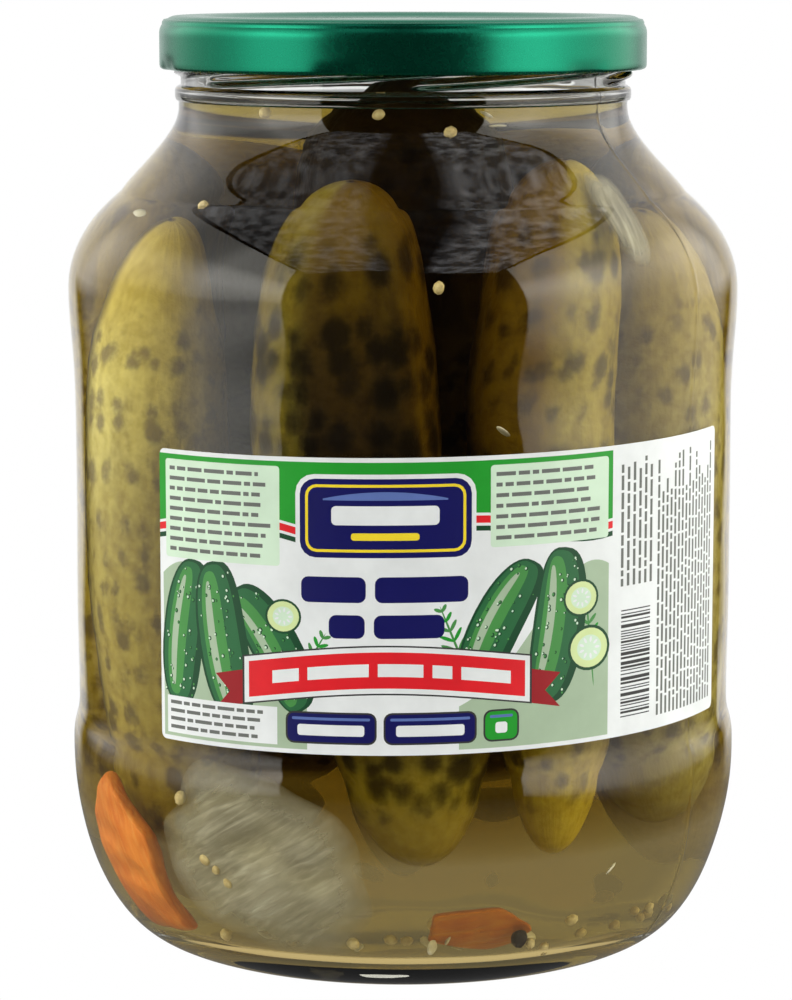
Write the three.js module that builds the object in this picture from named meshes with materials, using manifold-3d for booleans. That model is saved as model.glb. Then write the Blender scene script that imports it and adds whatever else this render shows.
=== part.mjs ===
// A large glass jar of pickled gherkins with a twist-off metal lid and a paper label.
// Millimetres, +Z up, front towards -Y. The origin is the middle of the foot, on the surface it stands on.
import * as THREE from "three";
import { mergeVertices } from "three/addons/utils/BufferGeometryUtils.js";
import Module from "manifold-3d";

const wasm = await Module();
wasm.setup();

// Facets round a turned piece, and round and along one gherkin
const SIDES = 40;
const GHERKIN_SIDES = 12;
const GHERKIN_RINGS = 12;

// Glass: outside radii and the heights that they belong to
const FOOT_INSIDE = 42.5;
const FOOT_RADIUS = 46;
const BULGE_RADIUS = 63.6;
const PANEL_RADIUS = 62.5;
const NECK_RADIUS = 42.4;
const FINISH_RADIUS = 42;
const BEAD_RADIUS = 43.1;
const HEEL_HEIGHT = 37.5;
const PANEL_LOW = 45.5;
const PANEL_HIGH = 99.5;
const SHOULDER_HEIGHT = 124.5;
const SHOULDER_TURN = { radius: 53.4, height: 142.3, slope: -0.713 };
const NECK_HEIGHT = 158;
const BEAD_LOW = 159.2;
const BEAD_HIGH = 162;
const MOUTH_HEIGHT = 173.6;

// Glass: how far the bends of its outline are drawn along their ends
const STEP_PULL = 4;
const PANEL_PULL = 14;
const BULGE_PULL = 8;
const SHOULDER_PULL = 10.7;
const TURN_PULL_BELOW = 1;
const TURN_PULL_ABOVE = 4.4;
const NECK_PULL = 5.6;
const HEEL_PULL = 21.6;
const FOOT_PULL = 8.7;
const FLOOR_PULL = 13;
const BEAD_ROUND = 0.7;
const RIM_ROUND = 1;

// Glass: thickness of the wall, the rise under the base and the floor inside
const WALL = 3;
const PUSH_UP = 3.5;
const PUSH_UP_RADIUS = 30;
const PUSH_UP_EDGE = 2.1;
const FLOOR_RADIUS = 40;
const FLOOR_LOW = 6.2;
const FLOOR_HIGH = 8;

// Thread ridges on the finish, under the lid
const THREADS = 6;
const THREAD_SPAN = 70;
const THREAD_FIRST = -59;
const THREAD_LOW = 162.6;
const THREAD_RISE = 2.8;
const THREAD_HEIGHT = 1.3;
const THREAD_RADIUS = 43.3;

// Lid
const LID_TOP = 175;
const LID_LOW = 164.8;
const LID_RADIUS = 45.95;
const LID_METAL = 0.8;
const LID_CORNER = 3.2;
const LID_PANEL_RADIUS = 35.5;
const LID_PANEL_DROP = 1;
const LID_CHANNEL_RADIUS = 38.5;
const CURL = 1.1;

// Label: angles from the front, positive to the right
const LABEL_LEFT = -44.2;
const LABEL_RIGHT = 66.5;
const LABEL_LOW = 46.4;
const LABEL_HEIGHT = 53.1;
const LABEL_THICKNESS = 0.35;
const LABEL_TILT = 0.71;
const LABEL_FACETS = 32;

// Space kept between pieces that touch
const GAP = 0.3;

// Gherkins: girth is the largest radius, taper thins the lower end, and the route runs from the lower tip
// to the upper one through stations of [angle from the front, distance from the axis, height]
const GHERKINS = [
  {
    girth: 15.2,
    taper: 0.08,
    route: [[-64, 35.6, 13], [-66, 39.2, 38], [-68.5, 43.5, 72], [-68.5, 43.5, 105], [-67, 41, 131]],
  },
  {
    girth: 16.4,
    taper: 0.1,
    route: [[4, 40, 23], [1, 41, 37], [-10, 42.3, 72], [-13, 42.3, 108], [-13, 40, 144]],
  },
  {
    girth: 14.2,
    taper: 0.3,
    route: [[37, 41, 23.5], [36, 42.5, 37], [32, 43.8, 72], [32, 43.6, 108], [46, 38.5, 147]],
  },
  { girth: 16, taper: 0, route: [[75, 41, 25], [74, 42.5, 60], [73, 42.7, 95], [72, 41, 131.5]] },
  { girth: 15.8, taper: 0.1, route: [[118, 40, 15], [117, 42.6, 60], [117, 42.8, 100], [118, 39, 143]] },
  { girth: 15.6, taper: -0.1, route: [[163, 39, 18], [162, 42.6, 60], [161, 42.8, 100], [160, 39, 145]] },
  { girth: 16, taper: 0.15, route: [[206, 40, 14], [206, 42.5, 60], [205, 42.6, 100], [206, 40, 137]] },
  { girth: 15.8, taper: 0, route: [[251, 40, 17], [250, 42.6, 60], [250, 42.6, 100], [249, 38.5, 143]] },
  { girth: 19.5, taper: 0.45, route: [[180, 3, 15], [180, 1, 60], [0, 1, 100], [0, 3, 165]] },
];
const GHERKIN_BLUNTNESS = 3.4;
const GHERKIN_LUMP = 0.03;
const CORE_RADIUS = 35;
const CORE_LOW = 36;
const CORE_HIGH = 122;

// Slices against the inside of the glass: middle, sizes across, up and through, turn in its plane,
// distance from the glass, facets
const SLICES = {
  carrot_left: {
    angle: -60, height: 20.8, across: 18.5, up: 29, through: 5, turn: -30, clear: 0.8, columns: 8, rows: 10,
  },
  carrot_front: {
    angle: 15.5, height: 12.2, across: 21, up: 8.5, through: 4, turn: 4, clear: 4.5, columns: 10, rows: 6,
  },
  onion_scale: {
    angle: -26.5, height: 24.2, across: 40, up: 27.5, through: 2.4, turn: 26, clear: 0.8, columns: 10, rows: 10,
  },
  onion_strip: {
    angle: 46, height: 138.5, across: 8, up: 16, through: 2, turn: 8, clear: 0.8, columns: 4, rows: 8,
  },
};

const radians = THREE.MathUtils.degToRad;
const at = (radius, height) => new THREE.Vector2(radius, height);

// A place given by its angle from the front, its distance from the axis and its height
function place(angle, distance, height) {
  return new THREE.Vector3(distance * Math.sin(angle), -distance * Math.cos(angle), height);
}

// Points of a smooth bend between two places, drawn towards the two places between
function bend(from, pullFrom, pullTo, to, steps) {
  return new THREE.CubicBezierCurve(from, pullFrom, pullTo, to).getPoints(steps);
}

// The profile without the repeats where two stretches meet
function joined(...stretches) {
  const points = stretches.flat();
  return points.filter((point, i) => i === 0 || point.distanceTo(points[i - 1]) > 1e-6);
}

// A profile of radius and height, turned round the axis
function turned(profile, sides = SIDES) {
  return new THREE.LatheGeometry(profile, sides).rotateX(Math.PI / 2);
}

// A closed geometry as a body that can be joined to others
function toSolid(geometry) {
  const bare = geometry.clone();
  bare.deleteAttribute("normal");
  bare.deleteAttribute("uv");
  const merged = mergeVertices(bare, 1e-4);
  const corners = merged.index.array;
  const triangles = [];
  for (let i = 0; i < corners.length; i += 3) {
    const [a, b, c] = corners.slice(i, i + 3);
    if (a !== b && b !== c && c !== a) triangles.push(a, b, c);
  }
  const vertProperties = merged.attributes.position.array;
  const triVerts = new Uint32Array(triangles);
  return new wasm.Manifold(new wasm.Mesh({ numProp: 3, vertProperties, triVerts }));
}

// A joined body as a geometry again
function toGeometry(solid) {
  const mesh = solid.getMesh();
  const geometry = new THREE.BufferGeometry();
  geometry.setAttribute("position", new THREE.BufferAttribute(mesh.vertProperties, 3));
  geometry.setIndex(new THREE.BufferAttribute(mesh.triVerts, 1));
  return geometry;
}

// One body from several that run into each other
function fused(geometries) {
  return toGeometry(geometries.map(toSolid).reduce((whole, next) => whole.add(next)));
}

// Every vertex moved to where the rule puts it
function shaped(geometry, rule) {
  const positions = geometry.attributes.position;
  const vertex = new THREE.Vector3();
  for (let i = 0; i < positions.count; i += 1) {
    const moved = rule(vertex.fromBufferAttribute(positions, i));
    positions.setXYZ(i, moved.x, moved.y, moved.z);
  }
  return geometry;
}

// A stretch of a ring between two angles from the front, climbing to the right
function ringStretch({ left, right, inner, outer, low, height, rise, facets }) {
  const outline = new THREE.Shape();
  const start = radians(left - 90);
  const end = radians(right - 90);
  outline.absarc(0, 0, outer, start, end, false);
  outline.absarc(0, 0, inner, end, start, true);
  const options = { depth: height, bevelEnabled: false, curveSegments: facets };
  const stretch = new THREE.ExtrudeGeometry(outline, options);
  return shaped(stretch, (vertex) => {
    const angle = THREE.MathUtils.radToDeg(Math.atan2(vertex.x, -vertex.y));
    const turn = THREE.MathUtils.euclideanModulo(angle - left + 180, 360) - 180;
    return vertex.setZ(vertex.z + low + (rise * turn) / (right - left));
  });
}

// Side of the jar from the heel's bulge to the neck, this far inside the outer surface
function flank(inset) {
  const bulge = BULGE_RADIUS - inset;
  const panel = PANEL_RADIUS - inset;
  const neck = NECK_RADIUS - inset;
  const turn = at(SHOULDER_TURN.radius - inset, SHOULDER_TURN.height);
  const slope = at(SHOULDER_TURN.slope, 1);
  const heel = at(bulge, HEEL_HEIGHT);
  const shoulder = at(bulge, SHOULDER_HEIGHT);
  const panelLow = at(panel, PANEL_LOW);
  const panelHigh = at(panel, PANEL_HIGH);
  const beforeTurn = turn.clone().addScaledVector(slope, -TURN_PULL_BELOW);
  const afterTurn = turn.clone().addScaledVector(slope, TURN_PULL_ABOVE);
  return joined(
    bend(heel, at(bulge, HEEL_HEIGHT + STEP_PULL), at(panel, PANEL_LOW - STEP_PULL), panelLow, 3),
    bend(panelHigh, at(panel, PANEL_HIGH + PANEL_PULL), at(bulge, SHOULDER_HEIGHT - BULGE_PULL), shoulder, 3),
    bend(shoulder, at(bulge, SHOULDER_HEIGHT + SHOULDER_PULL), beforeTurn, turn, 5),
    bend(turn, afterTurn, at(neck, NECK_HEIGHT - NECK_PULL), at(neck, NECK_HEIGHT), 4),
  );
}

// Inside of the glass, from the middle of the floor up to the mouth
function insideProfile() {
  const bulge = BULGE_RADIUS - WALL;
  const floor = at(FLOOR_RADIUS, FLOOR_LOW);
  const floorPull = at(FLOOR_RADIUS + FLOOR_PULL, FLOOR_LOW);
  return joined(
    [at(0, FLOOR_HIGH)],
    bend(floor, floorPull, at(bulge, HEEL_HEIGHT - HEEL_PULL), at(bulge, HEEL_HEIGHT), 5),
    flank(WALL),
    [at(FINISH_RADIUS - WALL, MOUTH_HEIGHT - RIM_ROUND)],
  );
}

// Outside of the glass, from the middle of its underside up to the rim
function outsideProfile() {
  const foot = at(FOOT_RADIUS, 0);
  const footPull = at(FOOT_RADIUS + FOOT_PULL, 0);
  const heel = at(BULGE_RADIUS, HEEL_HEIGHT);
  return joined(
    [at(0, PUSH_UP), at(PUSH_UP_RADIUS, PUSH_UP_EDGE), at(FOOT_INSIDE, 0)],
    bend(foot, footPull, at(BULGE_RADIUS, HEEL_HEIGHT - HEEL_PULL), heel, 6),
    flank(0),
    [at(NECK_RADIUS, BEAD_LOW), at(BEAD_RADIUS, BEAD_LOW + BEAD_ROUND)],
    [at(BEAD_RADIUS, BEAD_HIGH - BEAD_ROUND), at(FINISH_RADIUS, BEAD_HIGH)],
    [at(FINISH_RADIUS, MOUTH_HEIGHT - RIM_ROUND), at(FINISH_RADIUS - 0.5 * WALL, MOUTH_HEIGHT)],
  );
}

// The glass with its thread ridges
function jar() {
  const glass = turned(joined(outsideProfile(), insideProfile().reverse()));
  const threads = Array.from({ length: THREADS }, (_, i) => {
    const left = THREAD_FIRST + (i * 360) / THREADS;
    return ringStretch({
      left,
      right: left + THREAD_SPAN,
      inner: FINISH_RADIUS - 0.5 * WALL,
      outer: THREAD_RADIUS,
      low: THREAD_LOW,
      height: THREAD_HEIGHT,
      rise: THREAD_RISE,
      facets: 10,
    });
  });
  return fused([glass, ...threads]);
}

// A cap of sheet metal: sunk middle, raised channel over the glass, skirt and rolled lower edge
function lid() {
  const inside = LID_RADIUS - LID_METAL;
  const under = LID_TOP - LID_METAL;
  const shoulder = LID_RADIUS - LID_CORNER;
  const rolled = inside - CURL;
  const half = 0.5 * LID_CORNER;
  const profile = joined(
    [at(0, LID_TOP - LID_PANEL_DROP), at(LID_PANEL_RADIUS, LID_TOP - LID_PANEL_DROP)],
    [at(LID_CHANNEL_RADIUS, LID_TOP)],
    bend(
      at(shoulder, LID_TOP),
      at(LID_RADIUS - half, LID_TOP),
      at(LID_RADIUS, LID_TOP - half),
      at(LID_RADIUS, LID_TOP - LID_CORNER),
      3,
    ),
    bend(
      at(LID_RADIUS, LID_LOW + CURL),
      at(LID_RADIUS, LID_LOW),
      at(rolled, LID_LOW),
      at(rolled, LID_LOW + CURL),
      4,
    ),
    [at(inside, LID_LOW + 2 * CURL), at(inside, under - half), at(shoulder, under)],
    [at(LID_CHANNEL_RADIUS, under)],
    [at(LID_PANEL_RADIUS, under - LID_PANEL_DROP), at(0, under - LID_PANEL_DROP)],
  );
  return turned(profile.reverse());
}

// Paper wrapped round the panel, a little askew
function label() {
  const climb = PANEL_RADIUS * Math.tan(radians(LABEL_TILT));
  return ringStretch({
    left: LABEL_LEFT,
    right: LABEL_RIGHT,
    inner: PANEL_RADIUS + GAP,
    outer: PANEL_RADIUS + GAP + LABEL_THICKNESS,
    low: LABEL_LOW + radians(LABEL_LEFT) * climb,
    height: LABEL_HEIGHT,
    rise: radians(LABEL_RIGHT - LABEL_LEFT) * climb,
    facets: LABEL_FACETS,
  });
}

// One gherkin: blunt ends, a slightly uneven girth, level sections strung along its route
function gherkin({ girth, taper, route }) {
  const stations = route.map(([angle, distance, height]) => place(radians(angle), distance, height));
  const axis = new THREE.CatmullRomCurve3(stations);
  const low = stations[0].z;
  const high = stations.at(-1).z;
  const profile = Array.from({ length: GHERKIN_RINGS + 1 }, (_, ring) => {
    const along = -Math.cos((Math.PI * ring) / GHERKIN_RINGS);
    const fullness = Math.max(0, 1 - Math.abs(along) ** GHERKIN_BLUNTNESS) ** 0.5;
    return at(girth * fullness * (1 - taper * (1 - along) * 0.5), along);
  });
  return shaped(turned(profile, GHERKIN_SIDES), (vertex) => {
    const share = (vertex.z + 1) / 2;
    const lump = 1 - GHERKIN_LUMP * (1 + Math.sin(9 * share + 3 * Math.atan2(vertex.y, vertex.x) + girth));
    const centre = axis.getPoint(share);
    const height = low + (high - low) * share;
    return vertex.set(centre.x + vertex.x * lump, centre.y + vertex.y * lump, height);
  });
}

// The heap: gherkins standing in a ring round one more, joined by a plain core that none of them shows
function pickles() {
  const low = [at(0, CORE_LOW), at(CORE_RADIUS, CORE_LOW)];
  const high = [at(CORE_RADIUS, CORE_HIGH), at(0, CORE_HIGH)];
  const core = turned([...low, ...high], 2 * GHERKIN_SIDES);
  return fused([core, ...GHERKINS.map(gherkin)]);
}

// Inner radius of the glass at a height above its floor
function glassAt(height) {
  const profile = insideProfile();
  const above = profile.findIndex((point) => point.y > height && point.x > FLOOR_RADIUS - WALL);
  const [a, b] = [profile[above - 1], profile[above]];
  return THREE.MathUtils.lerp(a.x, b.x, (height - a.y) / (b.y - a.y));
}

// An oval slice that lies along the inside of the glass
function slice({ angle, height, across, up, through, turn, clear, columns, rows }) {
  const tilt = radians(turn);
  return shaped(new THREE.BoxGeometry(2, 1, 2, columns, 1, rows), (vertex) => {
    const x = 0.5 * across * vertex.x * Math.sqrt(1 - 0.5 * vertex.z ** 2);
    const z = 0.5 * up * vertex.z * Math.sqrt(1 - 0.5 * vertex.x ** 2);
    const along = x * Math.cos(tilt) + z * Math.sin(tilt);
    const rise = height + z * Math.cos(tilt) - x * Math.sin(tilt);
    const depth = clear + through * (0.5 + vertex.y);
    const wall = glassAt(rise);
    return place(radians(angle) + along / wall, wall - depth, rise);
  });
}

const finishes = {
  glass: { color: 0xe8efe6, roughness: 0.05, metalness: 0, transparent: true, opacity: 0.35 },
  lacquer: { color: 0x127a4f, roughness: 0.32, metalness: 0.4 },
  paper: { color: 0xf1f2ee, roughness: 0.45, metalness: 0 },
  gherkin: { color: 0x857423, roughness: 0.4, metalness: 0 },
  carrot: { color: 0xe2702c, roughness: 0.4, metalness: 0 },
  onion: { color: 0xcfc9b2, roughness: 0.35, metalness: 0 },
};

const model = new THREE.Group();

// Adds one named piece with its own finish
function addPiece(name, geometry, finish) {
  const piece = new THREE.Mesh(geometry, new THREE.MeshStandardMaterial(finishes[finish]));
  piece.name = name;
  model.add(piece);
}

addPiece("jar", jar(), "glass");
addPiece("lid", lid(), "lacquer");
addPiece("label", label(), "paper");
addPiece("pickles", pickles(), "gherkin");
for (const [name, sizes] of Object.entries(SLICES)) {
  addPiece(name, slice(sizes), name.split("_")[0]);
}

export default model;
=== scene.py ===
"""Dresses the pickle jar: glass, lacquered lid, printed label, gherkins, vegetables, brine and studio."""

import logging
import math
from dataclasses import dataclass, field
from enum import Enum
from functools import cache
from typing import Callable, Iterable, Sequence

import bpy
import numpy as np
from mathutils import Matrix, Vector
from mathutils.geometry import delaunay_2d_cdt


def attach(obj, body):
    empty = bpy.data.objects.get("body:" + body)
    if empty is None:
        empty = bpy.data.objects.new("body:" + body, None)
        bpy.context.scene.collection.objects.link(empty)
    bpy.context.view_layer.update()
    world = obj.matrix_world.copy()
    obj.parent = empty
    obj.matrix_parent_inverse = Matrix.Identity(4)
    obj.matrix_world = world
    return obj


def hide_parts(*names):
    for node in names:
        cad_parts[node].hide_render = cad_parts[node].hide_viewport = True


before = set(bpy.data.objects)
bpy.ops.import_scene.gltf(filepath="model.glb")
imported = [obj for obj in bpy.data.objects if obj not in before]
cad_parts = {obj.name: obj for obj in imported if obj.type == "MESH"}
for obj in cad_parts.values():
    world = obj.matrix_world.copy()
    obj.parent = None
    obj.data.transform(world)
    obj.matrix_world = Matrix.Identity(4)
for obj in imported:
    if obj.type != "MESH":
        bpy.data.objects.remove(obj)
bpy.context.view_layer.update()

BODY = "root"
MM = 0.001
LOG = logging.getLogger("pickle_jar")

Array = np.ndarray
Colour = tuple[float, float, float]
Place = tuple[float, float, float]
Pair = tuple[float, float]
Curve = Callable[[Array], Array]
Socket = bpy.types.NodeSocket
Material = bpy.types.Material
Piece = bpy.types.Object
AXIS_GAP = 2.0


class Slot(Enum):
    """Names of material slots; each piece is passed one, but nothing reads it."""

    GLASS = "glass"
    LID = "lid_lacquer"
    LABEL = "label_paper"
    GHERKIN = "gherkin_skin"
    CARROT = "carrot"
    ONION = "onion"
    BRINE = "brine"
    SPICE = "spice"


class Ink(Enum):
    """The inks of the label, each with its colour."""

    PAPER = (0.75, 0.78, 0.79)
    LEAF = (0.012, 0.30, 0.022)
    MINT = (0.60, 0.77, 0.60)
    FOREST = (0.006, 0.060, 0.022)
    PINE = (0.020, 0.130, 0.045)
    GRASS = (0.06, 0.26, 0.06)
    SAGE = (0.36, 0.47, 0.33)
    FLESH = (0.62, 0.74, 0.36)
    NAVY = (0.004, 0.004, 0.095)
    SKY = (0.10, 0.16, 0.42)
    RED = (0.70, 0.010, 0.018)
    WINE = (0.30, 0.006, 0.012)
    SUN = (0.86, 0.66, 0.025)
    COAL = (0.035, 0.035, 0.035)
    SLATE = (0.13, 0.14, 0.13)


def bezier(start: Pair, pull_start: Pair, pull_end: Pair, end: Pair, steps: int) -> Array:
    """Points of a smooth bend between two places.

    Args:
        start: First point.
        pull_start: Point that the bend leaves towards.
        pull_end: Point that the bend arrives from.
        end: Last point.
        steps: Number of stretches.

    Returns:
        Array of steps + 1 points.
    """
    share = np.linspace(0.0, 1.0, steps + 1)[:, None]
    rest = 1.0 - share
    ends = rest**3 * np.array(start) + share**3 * np.array(end)
    return ends + 3 * rest**2 * share * np.array(pull_start) + 3 * rest * share**2 * np.array(pull_end)


def straight(start: Pair, end: Pair, steps: int) -> Array:
    """Evenly spaced points from start to end."""
    return np.linspace(np.array(start, float), np.array(end, float), steps + 1)


def joined(*stretches: Array) -> Array:
    """One run of points without the repeats where two stretches meet."""
    points = np.concatenate(stretches)
    keep = np.ones(len(points), bool)
    keep[1:] = np.hypot(*np.diff(points, axis=0).T) > 1e-6
    return points[keep]


def smooth_step(low: float, high: float, value: Array) -> Array:
    """Soft climb from 0 at low to 1 at high."""
    share = np.clip((value - low) / (high - low), 0.0, 1.0)
    return share * share * (3.0 - 2.0 * share)


def place(angle: Array, distance: Array, height: Array) -> Array:
    """Points given by angle from the front in radians, distance from the axis and height."""
    return np.stack(np.broadcast_arrays(distance * np.sin(angle), -distance * np.cos(angle), height), axis=-1)


@dataclass(frozen=True)
class Ripples:
    """A smooth uneven field: a few waves of unlike directions added up.

    Attributes:
        seed: Start of the random draw.
        waves: Number of waves.
        shortest: Shortest wavelength.
        longest: Longest wavelength.
    """

    seed: int
    waves: int
    shortest: float
    longest: float

    def at(self, points: Array) -> Array:
        """Field values from about -1 to 1.

        Args:
            points: Places, with their coordinates in the last axis.

        Returns:
            One value for each place.
        """
        draw = np.random.default_rng(self.seed)
        total = np.zeros(points.shape[:-1])
        for _ in range(self.waves):
            direction = draw.normal(size=points.shape[-1])
            length = draw.uniform(self.shortest, self.longest)
            direction *= 2.0 * math.pi / (length * np.linalg.norm(direction))
            total += np.sin(points @ direction + draw.uniform(0.0, 2.0 * math.pi))
        return total / math.sqrt(self.waves)


@dataclass
class Skin:
    """A mesh in the making, in millimetres.

    Attributes:
        vertices: Vertex places.
        faces: Vertex numbers of each face.
        paints: Material number of each face.
        marks: Named values carried by the vertices, one number or three each.
    """

    vertices: Array
    faces: list[tuple[int, ...]]
    paints: list[int] = field(default_factory=list)
    marks: dict[str, Array] = field(default_factory=dict)

    @staticmethod
    def from_rings(rings: Array, low: Array | None, high: Array | None, paints: Sequence[int] = ()) -> "Skin":
        """Closes rings of points into a body, with a point at each end.

        Args:
            rings: Points by row and column.
            low: End point before the first row, or None to join the last row to the first.
            high: End point after the last row.
            paints: Material number of each band between rows.

        Returns:
            The closed skin.
        """
        rows, columns = rings.shape[:2]
        here = np.arange(columns)
        after = (here + 1) % columns
        faces: list[tuple[int, ...]] = []
        numbers: list[int] = []
        bands = rows - 1 if low is not None else rows
        for row in range(bands):
            base = row * columns
            above = (row + 1) % rows * columns
            quads = np.stack([base + here, base + after, above + after, above + here], axis=1)
            faces.extend(map(tuple, quads.tolist()))
            numbers.extend([paints[row] if paints else 0] * columns)
        points = [rings.reshape(-1, 3)]
        if low is not None and high is not None:
            first = rows * columns
            last = (rows - 1) * columns
            faces.extend((first, b, a) for a, b in zip(here.tolist(), after.tolist()))
            faces.extend((last + a, last + b, first + 1) for a, b in zip(here.tolist(), after.tolist()))
            numbers.extend([paints[0] if paints else 0] * columns)
            numbers.extend([paints[-1] if paints else 0] * columns)
            points.append(np.array([low, high], float))
        return Skin(np.concatenate(points), faces, numbers)

    @staticmethod
    def merged(skins: Iterable["Skin"]) -> "Skin":
        """All the skins as one mesh of separate bodies."""
        parts = list(skins)
        whole = Skin(np.concatenate([part.vertices for part in parts]), [])
        start = 0
        for part in parts:
            whole.faces.extend(tuple(start + corner for corner in face) for face in part.faces)
            whole.paints.extend(part.paints)
            start += len(part.vertices)
        for name in parts[0].marks:
            whole.marks[name] = np.concatenate([part.marks[name] for part in parts])
        return whole

    def piece(self, name: str, materials: Sequence[Material], crease: float = 40.0) -> Piece:
        """Makes the mesh object.

        Args:
            name: Name of the piece.
            materials: Materials in the order of the paint numbers.
            crease: Angle in degrees above which an edge stays sharp.

        Returns:
            The object, linked to the scene.
        """
        mesh = bpy.data.meshes.new(name)
        mesh.from_pydata((self.vertices * MM).tolist(), [], self.faces)
        for material in materials:
            mesh.materials.append(material)
        if self.paints:
            mesh.polygons.foreach_set("material_index", np.array(self.paints, np.int32))
        for label, values in self.marks.items():
            kind, key = ("FLOAT_VECTOR", "vector") if values.ndim == 2 else ("FLOAT", "value")
            attribute = mesh.attributes.new(label, kind, "POINT")
            attribute.data.foreach_set(key, values.astype(np.float32).ravel())
        mesh.shade_smooth()
        mesh.set_sharp_from_angle(angle=math.radians(crease))
        mesh.validate()
        made = bpy.data.objects.new(name, mesh)
        bpy.context.scene.collection.objects.link(made)
        return made


def settle(piece: Piece, slot: Slot, *nodes: str) -> Piece:
    """Ties a piece to the jar's body and hides the solids that it stands for.

    Args:
        piece: The piece.
        slot: Material slot; not used.
        nodes: Nodes that the piece replaces.

    Returns:
        The same piece.
    """
    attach(piece, BODY)
    if nodes:
        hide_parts(*nodes)
    LOG.info("%s: %d faces", piece.name, len(piece.data.polygons))
    return piece


class NodeSheet:
    """A node tree with a short way to add and join nodes."""

    def __init__(self, tree: bpy.types.NodeTree) -> None:
        """Keeps the tree that nodes are added to."""
        self.tree = tree

    @staticmethod
    def material(name: str) -> tuple["NodeSheet", Material]:
        """An empty material and its sheet."""
        made = bpy.data.materials.new(name)
        made.use_nodes = True
        made.node_tree.nodes.clear()
        return NodeSheet(made.node_tree), made

    @staticmethod
    def group(name: str, inputs: dict[str, str], outputs: dict[str, str]) -> "NodeSheet":
        """An empty node group with the named sockets.

        Args:
            name: Name of the group.
            inputs: Socket kind of each input, such as Float, Color or Vector.
            outputs: Socket kind of each output.

        Returns:
            The group's sheet, with its input node named feed and its output node named result.
        """
        tree = bpy.data.node_groups.new(name, "ShaderNodeTree")
        for label, kind in inputs.items():
            tree.interface.new_socket(label, in_out="INPUT", socket_type="NodeSocket" + kind)
        for label, kind in outputs.items():
            tree.interface.new_socket(label, in_out="OUTPUT", socket_type="NodeSocket" + kind)
        sheet = NodeSheet(tree)
        sheet.add("NodeGroupInput").name = "feed"
        sheet.add("NodeGroupOutput").name = "result"
        return sheet

    def add(
            self, kind: str, inputs: dict[str | int, object] | None = None,
            **settings: object) -> bpy.types.Node:
        """Adds a node.

        Args:
            kind: Blender's name of the node.
            inputs: A value, or an output socket to join, for each named or numbered input.
            settings: Properties of the node.

        Returns:
            The new node.
        """
        node = self.tree.nodes.new(kind)
        for name, value in settings.items():
            setattr(node, name, value)
        for key, value in (inputs or {}).items():
            socket = node.inputs[key]
            if isinstance(value, Socket):
                self.tree.links.new(value, socket)
            elif socket.type == "RGBA":
                socket.default_value = (*value, 1.0)
            else:
                socket.default_value = value
        return node

    def feed(self, name: str) -> Socket:
        """The group's own input of that name."""
        return self.tree.nodes["feed"].outputs[name]

    def give(self, name: str, value: Socket) -> None:
        """Joins a value to the group's output of that name."""
        self.tree.links.new(value, self.tree.nodes["result"].inputs[name])

    def effect(self, group: bpy.types.NodeTree, inputs: dict[str | int, object]) -> bpy.types.Node:
        """Places a shared effect with its own values."""
        return self.add("ShaderNodeGroup", inputs, node_tree=group)

    def mix(self, factor: object, first: object, second: object, blend: str = "MIX") -> Socket:
        """Colour between first and second, or their blend of another kind, by the factor."""
        inputs = {0: factor, 6: first, 7: second}
        return self.add("ShaderNodeMix", inputs, data_type="RGBA", blend_type=blend).outputs[2]

    def math(self, operation: str, *values: object) -> Socket:
        """Result of one sum on values or sockets."""
        return self.add("ShaderNodeMath", dict(enumerate(values)), operation=operation).outputs[0]

    def span(self, value: Socket, low: float, high: float, start: object, end: object) -> Socket:
        """Value moved from the span low to high onto the span start to end, clamped."""
        sizes = {"Value": value, "From Min": low, "From Max": high, "To Min": start, "To Max": end}
        return self.add("ShaderNodeMapRange", sizes).outputs[0]

    def object_place(self) -> Socket:
        """Place on the object, in metres."""
        return self.add("ShaderNodeTexCoord").outputs["Object"]

    def mark(self, name: str, output: str = "Fac") -> Socket:
        """Value that the mesh carries under that name."""
        return self.add("ShaderNodeAttribute", attribute_name=name).outputs[output]

    def bump(self, height: Socket, strength: float, depth: float) -> Socket:
        """Normal of a surface with this relief, depth in metres."""
        sizes = {"Height": height, "Strength": strength, "Distance": depth}
        return self.add("ShaderNodeBump", sizes).outputs["Normal"]

    def principled(self, values: dict[str, object]) -> Socket:
        """The main shader with these values."""
        return self.add("ShaderNodeBsdfPrincipled", values).outputs[0]

    def surface(self, shader: Socket, volume: Socket | None = None) -> None:
        """Ends the material with this shader and, inside it, this volume."""
        result = self.add("ShaderNodeOutputMaterial", {"Surface": shader})
        if volume is not None:
            self.tree.links.new(volume, result.inputs["Volume"])

    def lamp_glass(self, shader: Socket, tint: Colour) -> Socket:
        """Glass that light from lamps and soft bounces crosses without bending.

        Args:
            shader: The glass as the eye meets it.
            tint: Colour of light that has crossed.

        Returns:
            The mixed shader.
        """
        path = self.add("ShaderNodeLightPath")
        clear = self.add("ShaderNodeBsdfTransparent", {"Color": tint}).outputs[0]
        for ray in ("Is Shadow Ray", "Is Diffuse Ray"):
            shader = self.add("ShaderNodeMixShader", {0: path.outputs[ray], 1: shader, 2: clear}).outputs[0]
        return shader


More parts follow.
